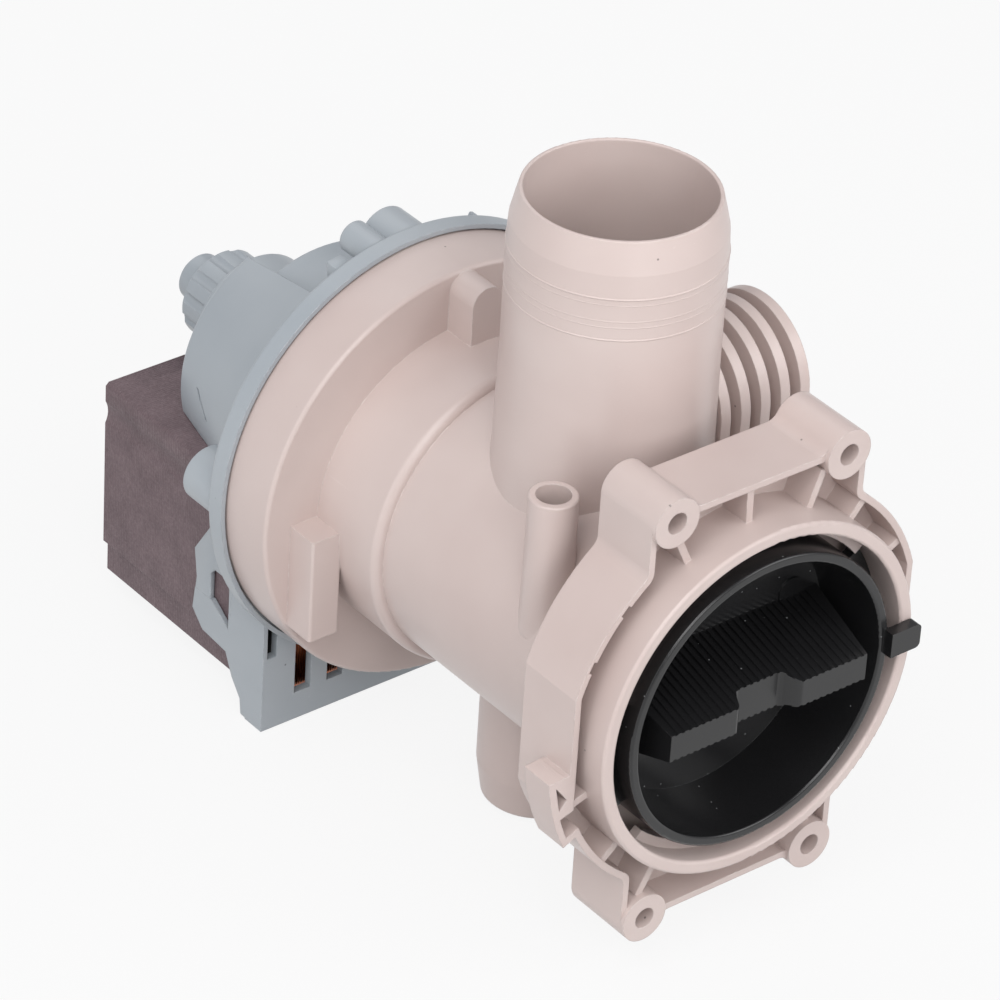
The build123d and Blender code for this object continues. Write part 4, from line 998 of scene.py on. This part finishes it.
@dataclass
class FrameSides:
    """The two side plates of the motor frame where they reach back over the core, with windows."""

    palette: Palette
    # Round the plate and its window, which is open at the foot: places along the pump and heights
    outline_mm: tuple[tuple[float, float], ...] = (
        (124.8, -40.0), (124.8, -12.8), (132.5, -17.0), (133.5, -22.0), (138.7, -30.0),
        (137.7, -37.0), (138.1, -40.0), (132.4, -40.0), (132.4, -33.2), (131.0, -31.7),
        (127.1, -31.7), (125.7, -33.2), (125.7, -40.0),
    )
    inner_mm: float = 36.15
    outer_mm: float = 37.3
    edge_mm: float = 0.2
    body: str = "pump"

    def build(self) -> None:
        """Thickens the outline to a plate on each side and rounds its rims above the foot."""
        bm = bmesh.new()
        for side in (-1, 1):
            verts = [bm.verts.new((side * self.inner_mm, y, z)) for y, z in self.outline_mm]
            raised = bmesh.ops.extrude_face_region(bm, geom=[bm.faces.new(verts)])["geom"]
            top = [g for g in raised if isinstance(g, bmesh.types.BMVert)]
            thickness = side * (self.outer_mm - self.inner_mm)
            bmesh.ops.translate(bm, vec=(thickness, 0, 0), verts=top)
        bmesh.ops.recalc_face_normals(bm, faces=bm.faces)
        foot = self.outline_mm[0][1]
        rims = [
            e for e in bm.edges
            if abs(e.verts[0].co.x - e.verts[1].co.x) < self.edge_mm
            and max(v.co.z for v in e.verts) > foot + self.edge_mm
        ]
        bmesh.ops.bevel(
            bm, geom=rims, offset=self.edge_mm, segments=2, profile=0.5, affect="EDGES",
            material=-1, clamp_overlap=True,
        )
        bmesh.ops.scale(bm, vec=(MM, MM, MM), verts=bm.verts)
        shade(bm)
        finished(
            bm, "motor_frame_sides", self.body,
            lambda obj: self.palette.paint(obj, Finish.MOTOR_MOULDING),
        )


@dataclass
class PackedNodes:
    """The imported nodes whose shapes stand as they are, each with the finish that it gets."""

    palette: Palette
    finishes: dict[str, Finish] = field(default_factory=lambda: {
        "pump_housing": Finish.PUMP_MOULDING,
        "motor_housing": Finish.MOTOR_MOULDING,
        "rotor_can": Finish.MOTOR_MOULDING,
        "bearing_plate": Finish.MOTOR_MOULDING,
        "filter_cap": Finish.CAP_MOULDING,
        "filter_basket": Finish.CAP_MOULDING,
        "impeller": Finish.WHITE_MOULDING,
        "impeller_driver": Finish.WHITE_MOULDING,
        "magnet_cap_front": Finish.WHITE_MOULDING,
        "magnet_cap_rear": Finish.WHITE_MOULDING,
        "coil_bobbin": Finish.FORMER_MOULDING,
        "terminal_block": Finish.FORMER_MOULDING,
        "filter_seal": Finish.RUBBER,
        "motor_oring": Finish.RUBBER,
        "shaft_seal": Finish.RUBBER,
        "front_bush_seat": Finish.RUBBER,
        "rear_bush_seat": Finish.RUBBER,
        "rotor_shaft": Finish.SHAFT,
        "thrust_washers": Finish.SHAFT,
        "rotor_magnet": Finish.FERRITE,
        "front_bush": Finish.BRONZE,
        "rear_bush": Finish.BRONZE,
        "motor_screws": Finish.ZINC,
        "spade_terminals": Finish.TINNED,
    })

    def build(self) -> None:
        """Dresses each node."""
        for node, finish in self.finishes.items():
            self.palette.paint_node(node, finish)


@dataclass
class Studio:
    """Pale floor, soft lamps and the camera at the photograph's place."""

    azimuth_deg: float = -39.94
    elevation_deg: float = 33.64
    roll_deg: float = 3.61
    place_mm: tuple[float, float, float] = (-631.0, -672.62, 654.89)
    lens_mm: float = 201.1
    sensor_mm: float = 36.0
    nearest_m: float = 0.05
    farthest_m: float = 50.0
    sky_colour: str = "#fbfbff"
    floor_gap_mm: float = 0.2
    floor_half_m: float = 6.0
    floor_colour: str = "#c8c8c8"
    floor_glow: float = 0.88
    world_strength: float = 0.42
    # Place and size in metres, then power in watts
    lamps: dict[str, tuple[tuple[float, float, float], float, float]] = field(
        default_factory=lambda: {
            "key_softbox": ((-0.75, -0.35, 1.15), 0.9, 10.5),
            "front_softbox": ((-0.35, -1.25, 0.7), 0.9, 9.0),
            "side_softbox": ((-1.3, 0.05, 0.25), 0.9, 3.5),
            "fill_softbox": ((0.9, -1.0, 0.8), 1.0, 9.0),
            "rear_softbox": ((0.2, 1.2, 0.9), 0.9, 2.5),
        }
    )

    def build(self) -> None:
        """Builds the floor, lamps, world and camera."""
        self._floor()
        self._world()
        for name, (place, size, power) in self.lamps.items():
            self._lamp(name, Vector(place), size, power)
        self._camera()
        bpy.context.scene.view_settings.view_transform = "Standard"

    def _floor(self) -> None:
        """A wide plane just under the pump, white to the eye, that keeps the shadow."""
        bm = bmesh.new()
        height = cad_box[0][2] - self.floor_gap_mm * MM
        bmesh.ops.create_grid(
            bm, x_segments=1, y_segments=1, size=self.floor_half_m,
            matrix=Matrix.Translation((0, 0, height)),
        )
        mesh = bpy.data.meshes.new("floor")
        bm.to_mesh(mesh)
        bm.free()
        obj = bpy.data.objects.new("floor", mesh)
        bpy.context.scene.collection.objects.link(obj)
        tree = surface("white_floor")
        paper = add(tree, "BsdfDiffuse", {}, {"Color": srgb(self.floor_colour)})
        glow = add(tree, "Emission", {}, {"Color": (1.0, 1.0, 1.0, 1.0), "Strength": 1.0})
        seen = self._seen(tree)
        share = add(
            tree, "Math", {"operation": "MULTIPLY"}, {0: seen, 1: self.floor_glow},
        )
        mixed = add(
            tree, "MixShader", {},
            {0: share.outputs["Value"], 1: paper.outputs["BSDF"], 2: glow.outputs["Emission"]},
        )
        add(tree, "OutputMaterial", {}, {"Surface": mixed.outputs["Shader"]})
        mesh.materials.append(material_of(tree))

    def _seen(self, tree: bpy.types.NodeTree) -> Any:
        """Adds a mask that is 1 for what the camera sees, also in metal and glass.

        Args:
            tree: node tree of a material or the world.

        Returns:
            The mask's output.
        """
        path = add(tree, "LightPath")
        either = add(
            tree, "Math", {"operation": "MAXIMUM"},
            {0: path.outputs["Is Camera Ray"], 1: path.outputs["Is Glossy Ray"]},
        )
        return add(
            tree, "Math", {"operation": "MAXIMUM"},
            {0: either.outputs["Value"], 1: path.outputs["Is Transmission Ray"]},
        ).outputs["Value"]

    def _world(self) -> None:
        """White to the eye, and a plain soft light on the pump."""
        world = bpy.data.worlds.new("studio")
        world.use_nodes = True
        tree = world.node_tree
        tree.nodes.clear()
        light = add(
            tree, "Background", {},
            {"Color": srgb(self.sky_colour), "Strength": self.world_strength},
        )
        white = add(tree, "Background", {}, {"Color": (1.0, 1.0, 1.0, 1.0), "Strength": 1.0})
        path = add(tree, "LightPath")
        mixed = add(
            tree, "MixShader", {},
            {
                0: path.outputs["Is Camera Ray"], 1: light.outputs["Background"],
                2: white.outputs["Background"],
            },
        )
        add(tree, "OutputWorld", {}, {"Surface": mixed.outputs["Shader"]})
        bpy.context.scene.world = world

    def _lamp(self, name: str, place: Vector, size: float, power: float) -> None:
        """Adds a square softbox that looks at the pump.

        Args:
            name: the lamp's name.
            place: its middle, in metres.
            size: its side, in metres.
            power: in watts.
        """
        lamp = bpy.data.lights.new(name, "AREA")
        lamp.shape = "SQUARE"
        lamp.size = size
        lamp.energy = power
        obj = bpy.data.objects.new(name, lamp)
        bpy.context.scene.collection.objects.link(obj)
        middle = Vector(tuple((a + b) / 2 for a, b in zip(*cad_box)))
        obj.matrix_world = Matrix.Translation(place) @ (
            (middle - place).to_track_quat("-Z", "Y").to_matrix().to_4x4()
        )

    def _camera(self) -> None:
        """Puts the camera where the photograph was taken from."""
        data = bpy.data.cameras.new("camera")
        data.lens = self.lens_mm
        data.sensor_width = self.sensor_mm
        data.clip_start, data.clip_end = self.nearest_m, self.farthest_m
        obj = bpy.data.objects.new("camera", data)
        bpy.context.scene.collection.objects.link(obj)
        az, el = math.radians(self.azimuth_deg), math.radians(self.elevation_deg)
        roll = math.radians(self.roll_deg)
        back = Vector((
            math.sin(az) * math.cos(el), -math.cos(az) * math.cos(el), math.sin(el),
        ))
        level = Vector((math.cos(az), math.sin(az), 0.0))
        rise = back.cross(level)
        right = level * math.cos(roll) + rise * math.sin(roll)
        up = rise * math.cos(roll) - level * math.sin(roll)
        turn = Matrix((right, up, back)).transposed().to_4x4()
        obj.matrix_world = Matrix.Translation(Vector(self.place_mm) * MM) @ turn
        bpy.context.scene.camera = obj


def main() -> None:
    """Builds and dresses the whole pump, then the studio round it."""
    logging.basicConfig(level=logging.INFO, format="%(name)s: %(message)s")
    palette = Palette()
    PackedNodes(palette).build()
    LaminatedCore(palette).build()
    WoundCoil(palette).build()
    InletBands(palette).build()
    DiscRibs(palette).build()
    FrameSides(palette).build()
    Studio().build()


if __name__ == "__main__":
    main()
